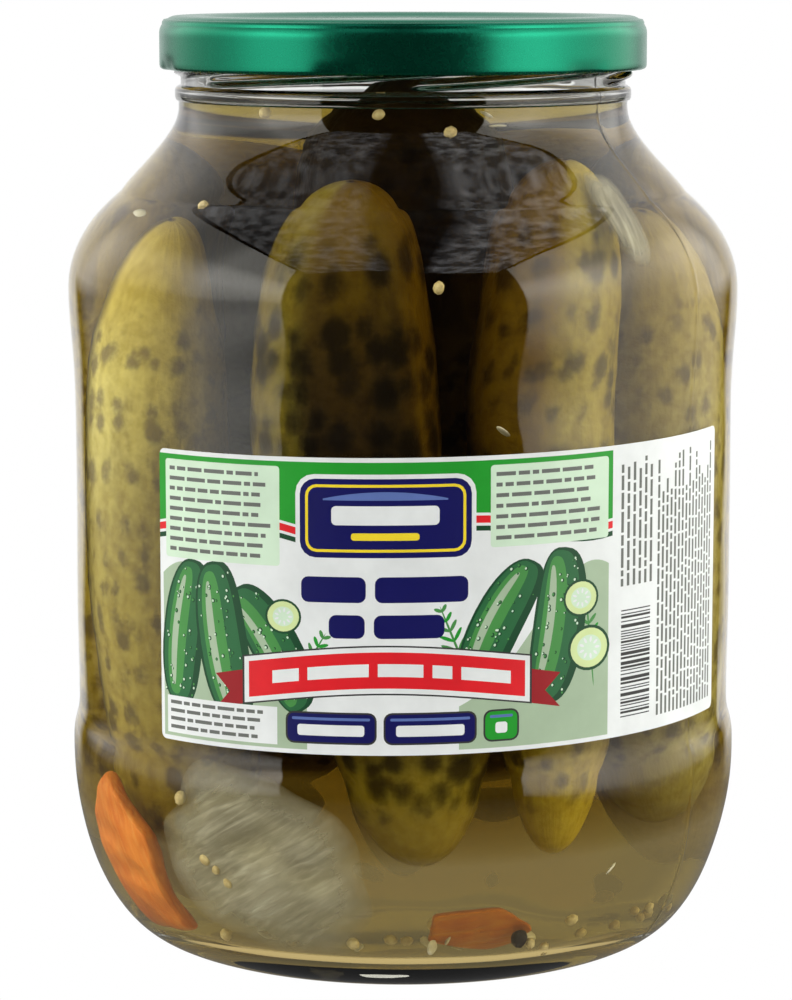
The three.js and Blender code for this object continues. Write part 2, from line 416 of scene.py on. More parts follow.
class Effects:
    """Node groups that several finishes share, each built once."""

    @staticmethod
    @cache
    def mottle() -> bpy.types.NodeTree:
        """Soft patches: a colour that drifts towards another."""
        inputs = {"Vector": "Vector", "Color": "Color", "Other": "Color", "Scale": "Float", "Amount": "Float"}
        sheet = NodeSheet.group("mottle", inputs, {"Color": "Color", "Mask": "Float"})
        sizes = {name: sheet.feed(name) for name in ("Vector", "Scale")}
        sizes.update({"Detail": 4.0, "Roughness": 0.55})
        noise = sheet.add("ShaderNodeTexNoise", sizes).outputs[0]
        mask = sheet.span(noise, 0.36, 0.66, 0.0, 1.0)
        share = sheet.math("MULTIPLY", mask, sheet.feed("Amount"))
        sheet.give("Color", sheet.mix(share, sheet.feed("Color"), sheet.feed("Other")))
        sheet.give("Mask", mask)
        return sheet.tree

    @staticmethod
    @cache
    def fibres() -> bpy.types.NodeTree:
        """Streaks along one way of a stretched place."""
        inputs = {"Vector": "Vector", "Scale": "Float", "Sharpness": "Float"}
        sheet = NodeSheet.group("fibres", inputs, {"Mask": "Float", "Height": "Float"})
        place_in = sheet.feed("Vector")
        broad = {"Vector": place_in, "Scale": sheet.feed("Scale"), "Detail": 3.0, "Distortion": 0.4}
        noise = sheet.add("ShaderNodeTexNoise", broad).outputs[0]
        height = sheet.span(noise, 0.3, 0.7, 0.0, 1.0)
        sheet.give("Mask", sheet.math("POWER", height, sheet.feed("Sharpness")))
        sheet.give("Height", height)
        return sheet.tree

    @staticmethod
    @cache
    def grain() -> bpy.types.NodeTree:
        """Fine relief, with a roughness that follows it."""
        inputs = {"Vector": "Vector", "Scale": "Float", "Smooth": "Float", "Rough": "Float"}
        sheet = NodeSheet.group("grain", inputs, {"Height": "Float", "Roughness": "Float"})
        sizes = {"Vector": sheet.feed("Vector"), "Scale": sheet.feed("Scale"), "Detail": 3.0}
        noise = sheet.add("ShaderNodeTexNoise", sizes).outputs[0]
        sheet.give("Height", noise)
        sheet.give("Roughness", sheet.span(noise, 0.3, 0.7, sheet.feed("Smooth"), sheet.feed("Rough")))
        return sheet.tree


@dataclass(frozen=True)
class Patches:
    """Soft patches in which a colour drifts towards another.

    Attributes:
        scale: Patches to the metre.
        share: How far the colour drifts.
    """

    scale: float
    share: float

    def on(self, sheet: NodeSheet, where: Socket, colour: object, other: Colour) -> bpy.types.Node:
        """Places the effect, with a colour or socket to start from."""
        values = {"Vector": where, "Color": colour, "Other": other, "Scale": self.scale, "Amount": self.share}
        return sheet.effect(Effects.mottle(), values)


@dataclass(frozen=True)
class Grain:
    """Fine relief of a surface.

    Attributes:
        scale: Grains to the metre.
        smooth: Roughness in the hollows.
        rough: Roughness on the grains.
        strength: Share of the relief that shows.
        depth: Depth in metres.
    """

    scale: float
    smooth: float
    rough: float
    strength: float
    depth: float

    def on(self, sheet: NodeSheet, where: Socket) -> dict[str, Socket]:
        """Roughness and normal under the names of the shader's inputs."""
        values = {"Vector": where, "Scale": self.scale, "Smooth": self.smooth, "Rough": self.rough}
        node = sheet.effect(Effects.grain(), values)
        normal = sheet.bump(node.outputs["Height"], self.strength, self.depth)
        return {"Roughness": node.outputs["Roughness"], "Normal": normal}


@dataclass(frozen=True)
class GlassFinish:
    """Clear soda glass, faintly wavy."""

    name: str = "jar_glass"
    tint: Colour = (0.975, 0.985, 0.975)
    bend: float = 1.52
    wave: Grain = Grain(55.0, 0.0, 0.003, 0.05, 0.0006)

    def material(self) -> Material:
        """Builds the glass as the eye and the lamps meet it."""
        sheet, made = NodeSheet.material(self.name)
        values = {
            "Base Color": self.tint,
            "IOR": self.bend,
            "Transmission Weight": 1.0,
            **self.wave.on(sheet, sheet.object_place()),
        }
        sheet.surface(sheet.lamp_glass(sheet.principled(values), self.tint))
        return made


@dataclass(frozen=True)
class BrineFinish:
    """Yellowish vinegar brine that darkens with depth."""

    name: str
    bend: float
    tint: Colour = (0.99, 0.98, 0.93)
    stain: Colour = (0.66, 0.57, 0.10)
    density: float = 50.0

    def material(self, deep: bool) -> Material:
        """Builds the liquid.

        Args:
            deep: True for the body of the brine, which takes colour from light on its way.

        Returns:
            The material.
        """
        sheet, made = NodeSheet.material(self.name)
        values = {"Base Color": self.tint, "Roughness": 0.0, "IOR": self.bend, "Transmission Weight": 1.0}
        volume = None
        if deep:
            stain = {"Color": self.stain, "Density": self.density}
            volume = sheet.add("ShaderNodeVolumeAbsorption", stain).outputs[0]
        sheet.surface(sheet.lamp_glass(sheet.principled(values), self.tint), volume)
        return made


@dataclass(frozen=True)
class HazeFinish:
    """Fine pulp that clouds the brine: it veils what lies deeper, and it glows with painted light in place of
    the light that it would scatter.
    """

    name: str = "brine_haze_glow"
    # Colour of the painted glow.
    light: Colour = (0.46, 0.39, 0.24)
    density: float = 12.0

    def material(self) -> Material:
        """Builds the haze in a body whose own faces don't show."""
        sheet, made = NodeSheet.material(self.name)
        face = sheet.principled({"Base Color": self.light, "Alpha": 0.0})
        veil = {"Color": (0.0, 0.0, 0.0), "Density": self.density}
        # Painted light: the haze absorbs and glows in its own colour where real haze would scatter lamp
        # light.
        parts = {
            0: sheet.add("ShaderNodeVolumeAbsorption", veil).outputs[0],
            1: sheet.add("ShaderNodeEmission", {"Color": self.light, "Strength": self.density}).outputs[0],
        }
        sheet.surface(face, sheet.add("ShaderNodeAddShader", parts).outputs[0])
        return made


@dataclass(frozen=True)
class LacquerFinish:
    """Green lacquer over pressed metal."""

    name: str = "lid_lacquer"
    colour: Colour = (0.007, 0.185, 0.108)
    deep: Colour = (0.005, 0.155, 0.088)
    metal: float = 0.94
    patches: Patches = Patches(60.0, 0.3)
    peel: Grain = Grain(900.0, 0.25, 0.29, 0.02, 0.0001)

    def material(self) -> Material:
        """Builds the lacquer with a fine orange peel."""
        sheet, made = NodeSheet.material(self.name)
        where = sheet.object_place()
        values = {
            "Base Color": self.patches.on(sheet, where, self.colour, self.deep).outputs["Color"],
            "Metallic": self.metal,
            **self.peel.on(sheet, where),
        }
        sheet.surface(sheet.principled(values))
        return made


@dataclass(frozen=True)
class InkFinish:
    """One ink on coated paper."""

    ink: Ink
    fade: float = 0.86
    gloss: float = 0.35
    patches: Patches = Patches(140.0, 0.6)
    tooth: Grain = Grain(2400.0, 0.34, 0.5, 0.15, 0.00005)

    def material(self) -> Material:
        """Builds the print, with a little unevenness and paper tooth."""
        sheet, made = NodeSheet.material("label_" + self.ink.name.lower())
        where = sheet.object_place()
        worn = tuple(self.fade * part for part in self.ink.value)
        values = {
            "Base Color": self.patches.on(sheet, where, self.ink.value, worn).outputs["Color"],
            "Specular IOR Level": self.gloss,
            **self.tooth.on(sheet, where),
        }
        sheet.surface(sheet.principled(values))
        return made


@dataclass(frozen=True)
class GherkinFinish:
    """Pickled skin: olive, with pale streaks, dull brown warts and paler ends."""

    name: str = "gherkin_skin"
    olive: Colour = (0.310, 0.255, 0.042)
    streak: Colour = (0.470, 0.410, 0.100)
    shade: Colour = (0.215, 0.165, 0.024)
    wart: Colour = (0.125, 0.092, 0.024)
    tip: Colour = (0.420, 0.345, 0.060)
    scar: Colour = (0.130, 0.090, 0.030)
    dust: Colour = (0.510, 0.460, 0.150)
    patches: Patches = Patches(150.0, 0.9)
    specks: Patches = Patches(420.0, 0.55)
    streak_share: float = 0.55
    tip_share: float = 0.7
    ragged: float = 0.13
    gloss: float = 0.12

    def material(self) -> Material:
        """Builds the skin from the values that the mesh carries, among them a tint of painted light and
        shade.
        """
        sheet, made = NodeSheet.material(self.name)
        where = sheet.object_place()
        along = sheet.mark("along_skin", "Vector")
        fine = sheet.effect(Effects.fibres(), {"Vector": along, "Scale": 1.3, "Sharpness": 1.6})
        skin = self.patches.on(sheet, where, self.olive, self.shade).outputs["Color"]
        skin = sheet.mix(sheet.math("MULTIPLY", fine.outputs["Mask"], self.streak_share), skin, self.streak)
        skin = sheet.mix(sheet.math("MULTIPLY", sheet.mark("tip"), self.tip_share), skin, self.tip)
        speck = self.specks.on(sheet, where, skin, self.dust)
        shift = sheet.span(speck.outputs["Mask"], 0.0, 1.0, self.ragged, -self.ragged)
        spot = sheet.span(sheet.math("ADD", sheet.mark("wart"), shift), 0.32, 0.72, 0.0, 0.8)
        skin = sheet.mix(spot, speck.outputs["Color"], self.wart)
        skin = sheet.mix(sheet.mark("scar"), skin, self.scar)
        relief = sheet.math("ADD", fine.outputs["Height"], speck.outputs["Mask"])
        # The tint mark multiplies painted light and shade into the skin's colour.
        values = {
            "Base Color": sheet.mix(1.0, skin, sheet.mark("tint", "Color"), "MULTIPLY"),
            "Roughness": sheet.span(fine.outputs["Height"], 0.0, 1.0, 0.6, 0.45),
            "Specular IOR Level": self.gloss,
            "Normal": sheet.bump(relief, 0.3, 0.0004),
        }
        sheet.surface(sheet.principled(values))
        return made


@dataclass(frozen=True)
class FleshFinish:
    """Wet vegetable flesh with veins, solid or letting some light through."""

    name: str
    colour: Colour
    vein: Colour
    patch: Colour
    vein_scale: float
    vein_share: float
    solid: float
    patches: Patches
    gloss: float = 0.2

    def material(self) -> Material:
        """Builds the flesh from the place along it that the mesh carries."""
        sheet, made = NodeSheet.material(self.name)
        along = sheet.mark("along_skin", "Vector")
        veins = sheet.effect(Effects.fibres(), {"Vector": along, "Scale": self.vein_scale, "Sharpness": 2.0})
        drift = self.patches.on(sheet, sheet.object_place(), self.colour, self.patch)
        share = sheet.math("MULTIPLY", veins.outputs["Mask"], self.vein_share)
        values = {
            "Base Color": sheet.mix(share, drift.outputs["Color"], self.vein),
            "Roughness": sheet.span(veins.outputs["Height"], 0.0, 1.0, 0.5, 0.36),
            "Specular IOR Level": self.gloss,
            "Normal": sheet.bump(veins.outputs["Height"], 0.4, 0.0004),
        }
        if self.solid < 1.0:
            thin = sheet.span(sheet.mark("rim"), 0.6, 1.0, 1.0, 0.1)
            values["Alpha"] = sheet.math("MULTIPLY", sheet.span(share, 0.0, 1.0, self.solid, 1.0), thin)
        sheet.surface(sheet.principled(values))
        return made


@dataclass(frozen=True)
class SpiceFinish:
    """Husk of a small seed or corn."""

    name: str
    colour: Colour
    dark: Colour
    patches: Patches = Patches(700.0, 0.7)
    pits: Grain = Grain(1800.0, 0.35, 0.6, 0.5, 0.0002)

    def material(self) -> Material:
        """Builds the husk with fine pits."""
        sheet, made = NodeSheet.material(self.name)
        where = sheet.object_place()
        colour = self.patches.on(sheet, where, self.colour, self.dark).outputs["Color"]
        sheet.surface(sheet.principled({"Base Color": colour, **self.pits.on(sheet, where)}))
        return made


@dataclass(frozen=True)
class FloorFinish:
    """Grey studio floor that fades away from the jar, with a painted glow for looks through the glass: light
    as brine would tint it under the jar.
    """

    name: str = "studio_floor"
    colour: Colour = (0.50, 0.50, 0.50)
    tinted: Colour = (0.60, 0.46, 0.20)
    mirrored: float = 0.16
    fade_start: float = 0.14
    fade_end: float = 0.26

    def material(self) -> Material:
        """Builds the floor as soft light, reflections and looks through the glass meet it."""
        sheet, made = NodeSheet.material(self.name)
        where = sheet.object_place()
        away = sheet.add("ShaderNodeVectorMath", {0: where}, operation="LENGTH").outputs["Value"]
        grain = sheet.effect(Effects.grain(), {"Vector": where, "Scale": 400.0, "Smooth": 0.6, "Rough": 0.75})
        shader = sheet.principled({"Base Color": self.colour, "Roughness": grain.outputs["Roughness"]})
        path = sheet.add("ShaderNodeLightPath")
        clear = sheet.add("ShaderNodeBsdfTransparent").outputs[0]
        faded = sheet.span(away, self.fade_start, self.fade_end, 0.0, 1.0)
        dim = sheet.add("ShaderNodeEmission", {"Strength": self.mirrored}).outputs[0]
        # Painted light: looks through the glass see the floor glow in a brine colour.
        glow = sheet.add("ShaderNodeEmission", {"Color": self.tinted}).outputs[0]
        crossed = sheet.math("GREATER_THAN", path.outputs["Transmission Depth"], 0.5)
        seen = sheet.math("SUBTRACT", 1.0, path.outputs["Is Diffuse Ray"])
        crossed = sheet.math("MULTIPLY", crossed, seen)
        for share, other in ((path.outputs["Is Glossy Ray"], dim), (crossed, glow), (faded, clear)):
            shader = sheet.add("ShaderNodeMixShader", {0: share, 1: shader, 2: other}).outputs[0]
        sheet.surface(shader)
        return made


@dataclass(frozen=True)
class JarGlass:
    """The glass: foot, heel, label panel, shoulder, neck, bead and threaded finish."""

    foot_inside: float = 42.5
    foot: float = 46.0
    bulge: float = 63.6
    panel: float = 62.5
    neck: float = 42.4
    finish: float = 42.0
    bead: float = 43.1
    heel_height: float = 37.5
    panel_low: float = 45.5
    panel_high: float = 99.5
    shoulder_height: float = 124.5
    turn: Pair = (53.4, 142.3)
    turn_slope: float = -0.713
    neck_height: float = 158.0
    bead_low: float = 159.2
    bead_high: float = 162.0
    mouth: float = 173.6
    wall: float = 3.0
    push_up: float = 3.5
    floor_radius: float = 40.0
    floor_low: float = 6.2
    floor_high: float = 8.0
    threads: int = 6
    thread_first: float = -59.0
    thread_span: float = 70.0
    thread_low: float = 163.2
    thread_rise: float = 2.8
    thread_depth: float = 1.3
    thread_half: float = 0.62
    seam_angles: Pair = (57.0, 237.0)
    seam_depth: float = 0.12
    ripple: float = 0.13
    waves: Ripples = Ripples(7, 9, 16.0, 60.0)
    wave_low: Pair = (1.0, 20.0)
    wave_high: Pair = (150.0, 158.0)
    thread_fade: float = 9.0
    seam_half: float = 0.4
    seam_low: float = 4.0
    heel_pull: float = 21.6
    floor_pull: float = 13.0
    panel_pull: float = 4.0
    shoulder_pulls: Pair = (14.0, 8.0)
    crown_pull: float = 10.7
    turn_pull: float = 4.4
    neck_pull: float = 5.6
    label_margin: float = 4.0
    label_angles: Pair = (-48.0, 70.0)
    label_heights: Pair = (44.0, 101.0)
    wet_bend: float = 1.134
    sides: int = 200

    def flank(self, inset: float, steps: int) -> Array:
        """Side from the heel's bulge to the neck.

        Args:
            inset: Distance inside the outer surface.
            steps: Stretches of each bend.

        Returns:
            Points of radius and height.
        """
        bulge, panel, neck = self.bulge - inset, self.panel - inset, self.neck - inset
        middle, rise = self.turn[0] - inset, self.turn[1]
        heel, low, high, top = self.heel_height, self.panel_low, self.panel_high, self.shoulder_height
        before = (middle - self.turn_slope, rise - 1.0)
        after = (middle + self.turn_pull * self.turn_slope, rise + self.turn_pull)
        pull, (pull_low, pull_high) = self.panel_pull, self.shoulder_pulls
        neck_low = (neck, self.neck_height - self.neck_pull)
        return joined(
            bezier((bulge, heel), (bulge, heel + pull), (panel, low - pull), (panel, low), steps),
            straight((panel, low), (panel, high), 2 * steps),
            bezier((panel, high), (panel, high + pull_low), (bulge, top - pull_high), (bulge, top), steps),
            bezier((bulge, top), (bulge, top + self.crown_pull), before, (middle, rise), steps),
            bezier((middle, rise), after, neck_low, (neck, self.neck_height), steps),
        )

    def inside(self, steps: int = 12, grow: float = 0.0) -> Array:
        """Inner wall from the edge of the floor up to the neck.

        Args:
            steps: Stretches of each bend.
            grow: Distance that the outline reaches into the glass.

        Returns:
            Points of radius and height.
        """
        bulge = self.bulge - self.wall + grow
        low = self.floor_low - grow
        start, leave = (self.floor_radius, low), (self.floor_radius + self.floor_pull, low)
        arrive, end = (bulge, self.heel_height - self.heel_pull), (bulge, self.heel_height)
        return joined(bezier(start, leave, arrive, end, steps), self.flank(self.wall - grow, steps))

    def outside(self, steps: int = 16) -> Array:
        """Outer wall from near the middle of the underside up to the rim."""
        rise, rim = self.push_up, self.mouth - 1.2
        inner, foot, bulge, heel = self.foot_inside, self.foot, self.bulge, self.heel_height
        neck, bead, finish, mouth = self.neck, self.bead, self.finish, self.mouth
        low, high = self.bead_low, self.bead_high
        return joined(
            bezier((AXIS_GAP, rise), (22.0, rise), (36.0, 0.75 * rise), (inner - 1.0, 0.15 * rise), steps),
            bezier((inner - 1.0, 0.15 * rise), (inner - 0.4, 0.0), (inner, 0.0), (inner + 0.6, 0.0), 4),
            bezier((foot, 0.0), (foot + 8.7, 0.0), (bulge, heel - self.heel_pull), (bulge, heel), 2 * steps),
            self.flank(0.0, steps),
            straight((neck, self.neck_height), (neck, low), 2),
            bezier((neck, low), (neck + 0.4, low), (bead, low + 0.2), (bead, low + 0.9), 5),
            bezier((bead, high - 1.0), (bead, high - 0.2), (finish + 0.4, high), (finish, high + 0.2), 5),
            straight((finish, high + 0.2), (finish, rim), 44),
            bezier((finish, rim), (finish, mouth), (finish - 0.7, mouth), (finish - 1.5, mouth), 5),
        )

    def wall_at(self, height: Array) -> Array:
        """Inner radius of the glass at a height above its floor."""
        profile = self.inside(40)
        return np.interp(height, profile[:, 1], profile[:, 0])

    def angles(self) -> Array:
        """Angles of the columns in radians, closer together at the mould seams."""
        even = np.linspace(-180.0, 180.0, self.sides, endpoint=False)
        close = [seam + step for seam in self.seam_angles for step in (-0.7, -0.35, 0.0, 0.35, 0.7)]
        return np.radians(np.unique(np.concatenate([even, (np.array(close) + 180.0) % 360.0 - 180.0])))

    def relief(self, angle: Array, radius: Array, height: Array) -> Array:
        """How far the outer surface stands out: threads, seams, and waves except under the label."""
        turn = np.degrees(angle)
        out = np.zeros(np.broadcast(angle, height).shape)
        for number in range(self.threads):
            first = self.thread_first + number * 360.0 / self.threads
            past = (turn - first) % 360.0
            middle = self.thread_low + self.thread_rise * past / self.thread_span
            fade_out = smooth_step(self.thread_span - self.thread_fade, self.thread_span, past)
            ends = smooth_step(0.0, self.thread_fade, past) * (1.0 - fade_out)
            ridge = np.exp(-((np.abs(height - middle) / self.thread_half) ** 3))
            out = np.maximum(out, self.thread_depth * ridge * ends * (past < self.thread_span))
        for seam in self.seam_angles:
            off = (turn - seam + 180.0) % 360.0 - 180.0
            ridge = np.exp(-((off / self.seam_half) ** 2))
            out = out + self.seam_depth * ridge * (height > self.seam_low)
        body = smooth_step(*self.wave_low, height) * (1.0 - smooth_step(*self.wave_high, height))
        (left, right), (low, high) = self.label_angles, self.label_heights
        margin = self.label_margin
        under = smooth_step(left - margin, left, turn) * (1.0 - smooth_step(right, right + margin, turn))
        above = 1.0 - smooth_step(high, high + margin, height)
        under = under * smooth_step(low - margin, low, height) * above
        body = body * (1.0 - under)
        waves = self.waves.at(place(angle, radius, height))
        return out + self.ripple * body * waves

    def build(self, level: float) -> Piece:
        """Makes the glass piece.

        Args:
            level: Height up to which brine wets the inside.

        Returns:
            The piece, standing for the jar node.
        """
        outer = self.outside()
        mouth, top, inside = self.finish - self.wall, self.mouth, self.neck - self.wall
        rim = bezier((self.finish - 1.5, top), (mouth + 0.7, top), (mouth, top), (mouth, top - 1.2), 5)
        neck = straight((inside, self.neck_height), (inside, level), 2)
        throat = straight((inside, level), (mouth, top - 1.2), 8)
        low, high = self.floor_low, self.floor_high
        floor = bezier((AXIS_GAP, high), (16.0, high), (28.0, low), (self.floor_radius, low), 8)
        inner = joined(floor, self.inside(), neck, throat)[::-1]
        profile = joined(outer, rim, inner)
        angle = self.angles()[None, :]
        radius, height = profile[:, :1], profile[:, 1:]
        shown = (np.arange(len(profile)) < len(outer))[:, None]
        spread = radius + np.where(shown, self.relief(angle, radius, height), 0.0)
        wet = (np.arange(len(profile)) > len(outer) + 5) & (profile[:, 1] <= level + 1e-6)
        rings = place(angle, spread, height)
        paints = wet[:-1].astype(int).tolist()
        skin = Skin.from_rings(rings, (0.0, 0.0, self.push_up), (0.0, 0.0, high), paints)
        finishes = (GlassFinish(), GlassFinish("wet_glass", bend=self.wet_bend))
        piece = skin.piece("glass_jar", [finish.material() for finish in finishes], 60.0)
        return settle(piece, Slot.GLASS, "jar")


@dataclass(frozen=True)
class Brine:
    """The liquid: its body, which reaches just into the wall, its surface and the haze over the floor."""

    glass: JarGlass
    level: float = 159.4
    climb: float = 1.1
    climb_width: float = 3.2
    reach: float = 0.12
    film: float = 0.3
    film_lift: float = 0.02
    water_bend: float = 1.33
    haze_high: float = 25.5
    haze_inset: float = 0.25
    sides: int = 128

    def top(self, drop: float) -> Array:
        """Outline of the surface from the wall to the axis, lowered by drop."""
        edge = self.glass.neck - self.glass.wall + self.reach
        high, low = self.level + self.climb - drop, self.level - drop
        level_from = (edge - self.climb_width, low)
        rise = bezier((edge, high), (edge - 0.3, low + 0.3), (edge - 1.2, low), level_from, 8)
        return joined(rise, straight(level_from, (AXIS_GAP, low), 6))

    def turned(self, profile: Array, low: float, high: float) -> Skin:
        """Turns an outline about the axis and closes it at two heights there."""
        angle = np.linspace(-math.pi, math.pi, self.sides, endpoint=False)[None, :]
        rings = place(angle, profile[:, :1], profile[:, 1:])
        return Skin.from_rings(rings, (0.0, 0.0, low), (0.0, 0.0, high))

    def floor(self, lift: float) -> Array:
        """Outline over the floor of the jar from the axis to its edge, raised by lift."""
        glass = self.glass
        return straight((AXIS_GAP, glass.floor_high + lift), (glass.floor_radius, glass.floor_low + lift), 6)

    def haze(self) -> None:
        """Makes the clouded layer over the floor of the jar, which glows with painted light."""
        glass, inset, high = self.glass, self.haze_inset, self.haze_high
        floor = self.floor(inset)
        wall = glass.inside(grow=-inset)
        wall = wall[wall[:, 1] < high - 1.0]
        edge = float(glass.wall_at(np.array([high]))[0]) - inset
        cloud = joined(floor, wall, straight((edge, high), (AXIS_GAP, high), 6))
        layer = self.turned(cloud, glass.floor_high + inset, high)
        settle(layer.piece("brine_haze_glow", [HazeFinish().material()]), Slot.BRINE)

    def build(self) -> None:
        """Makes the body of the brine, its surface and the haze in it."""
        self.haze()
        body = joined(self.floor(-self.reach), self.glass.inside(grow=self.reach), self.top(0.0))
        deep = self.turned(body, self.glass.floor_high - self.reach, self.level)
        settle(deep.piece("brine", [BrineFinish("brine_deep", 1.0).material(True)]), Slot.BRINE)
        film = joined(self.top(self.film)[::-1], self.top(-self.film_lift))
        surface = self.turned(film, self.level - self.film, self.level + self.film_lift)
        finish = BrineFinish("brine_top", self.water_bend)
        settle(surface.piece("brine_surface", [finish.material(False)]), Slot.BRINE)


@dataclass(frozen=True)
class Lid:
    """Pressed twist-off cap: sunk middle with a button, channel, skirt with lugs and a rolled edge."""

    top: float = 175.0
    low: float = 164.8
    radius: float = 45.95
    metal: float = 0.5
    corner: float = 3.2
    panel: float = 35.5
    panel_drop: float = 1.0
    channel: float = 38.5
    button: float = 13.0
    button_rise: float = 0.35
    curl: float = 1.1
    lugs: int = 6
    lug_first: float = 46.7
    lug_width: float = 5.5
    lug_depth: float = 0.55
    lug_height: float = 3.4
    sides: int = 240

    def outline(self) -> Array:
        """Outline from the middle of the top, over the skirt, to the middle of the underside."""
        top, low, radius, curl = self.top, self.low, self.radius, self.curl
        panel, channel, button, half = self.panel, self.channel, self.button, 0.5 * self.corner
        face, under = top - self.panel_drop, top - self.metal
        raised, sunk = face + self.button_rise, face - self.metal
        shoulder, inside, rolled = radius - self.corner, radius - self.metal, radius - self.metal - curl
        fold, hem, bend = low + 1.6 * curl, low + 2.4 * curl, top - self.corner
        return joined(
            straight((AXIS_GAP, raised), (button - 1.5, raised), 2),
            bezier((button - 1.5, raised), (button, raised), (button, face), (button + 1.5, face), 6),
            straight((button + 1.5, face), (panel - 1.0, face), 4),
            bezier((panel - 1.0, face), (panel + 0.8, face), (channel - 1.2, top), (channel, top), 8),
            straight((channel, top), (shoulder, top), 3),
            bezier((shoulder, top), (radius - half, top), (radius, top - half), (radius, bend), 10),
            straight((radius, bend), (radius, low + curl), 10),
            bezier((radius, low + curl), (radius, low), (rolled, low), (rolled, low + curl), 10),
            bezier((rolled, low + curl), (rolled + 0.2, fold), (inside - 0.1, fold), (inside, hem), 4),
            straight((inside, hem), (inside, under - half), 4),
            bezier((inside, under - half), (inside, under), (inside, under), (shoulder, under), 4),
            straight((shoulder, under), (channel, under), 2),
            straight((channel, under), (panel, sunk), 3),
            straight((panel, sunk), (AXIS_GAP, sunk), 3),
        )

    def build(self) -> Piece:
        """Makes the lid piece, standing for the lid node."""
        outline = self.outline()[::-1]
        angle = np.linspace(-math.pi, math.pi, self.sides, endpoint=False)[None, :]
        radius, height = outline[:, :1], outline[:, 1:]
        pitch = 360.0 / self.lugs
        off = (np.degrees(angle) - self.lug_first + 0.5 * pitch) % pitch - 0.5 * pitch
        fade = 1.0 - smooth_step(self.low, self.low + self.lug_height, height)
        press = np.exp(-((off / self.lug_width) ** 4)) * fade
        skirt = smooth_step(self.channel, self.radius - 1.5, radius)
        spread = radius - self.lug_depth * press * skirt
        rings = place(angle, spread, height)
        face = self.top - self.panel_drop
        skin = Skin.from_rings(rings, (0.0, 0.0, face - self.metal), (0.0, 0.0, face + self.button_rise))
        return settle(skin.piece("metal_lid", [LacquerFinish().material()], 50.0), Slot.LID, "lid")


Shape = tuple[Ink, Array]


class Draw:
    """Outlines of flat printed shapes, in millimetres across and up the label."""

    @staticmethod
    def box(left: float, low: float, right: float, high: float, corner: float = 0.0) -> Array:
        """Outline of a rectangle with round corners."""
        if corner <= 0.0:
            return np.array([(left, low), (right, low), (right, high), (left, high)])
        quarter = np.linspace(0.0, 0.5 * math.pi, 5)
        points = []
        middles = ((right, high, -1, -1), (left, high, 1, -1), (left, low, 1, 1), (right, low, -1, 1))
        for number, (across, up, step_across, step_up) in enumerate(middles):
            turn = quarter + 0.5 * math.pi * number
            x, y = across + step_across * corner, up + step_up * corner
            points.append(np.stack([x + corner * np.cos(turn), y + corner * np.sin(turn)], axis=1))
        return np.concatenate(points)

    @staticmethod
    def turned(across: float, up: float, along: Array, aside: Array, turn: float) -> tuple[Array, Array]:
        """Places along and aside of a line that starts at a spot and is turned by an angle in degrees."""
        cosine, sine = math.cos(math.radians(turn)), math.sin(math.radians(turn))
        return across + along * cosine - aside * sine, up + along * sine + aside * cosine

    @staticmethod
    def oval(
            across: float, up: float, wide: float, tall: float, turn: float = 0.0, points: int = 24) -> Array:
        """Outline of an oval turned by an angle in degrees."""
        angle = np.linspace(0.0, 2.0 * math.pi, points, endpoint=False)
        return np.stack(Draw.turned(across, up, wide * np.cos(angle), tall * np.sin(angle), turn), axis=1)

    @staticmethod
    def band(left: float, right: float, low: Curve, high: Curve, points: int = 40) -> Array:
        """Outline between two curves."""
        across = np.linspace(left, right, points)
        below = np.stack([across, low(across)], axis=1)
        above = np.stack([across, high(across)], axis=1)
        return np.concatenate([below, above[::-1]])

    @staticmethod
    def sausage(across: float, up: float, length: float, girth: float, turn: float, bow: float) -> Array:
        """Outline of a plump bent gherkin."""
        angle = np.linspace(0.0, 2.0 * math.pi, 40, endpoint=False)
        x = 0.5 * length * np.sign(np.cos(angle)) * np.abs(np.cos(angle)) ** 0.8
        y = 0.5 * girth * np.sign(np.sin(angle)) * np.abs(np.sin(angle)) ** 0.7
        y = y + bow * (1.0 - (2.0 * x / length) ** 2)
        return np.stack(Draw.turned(across, up, x, y, turn), axis=1)


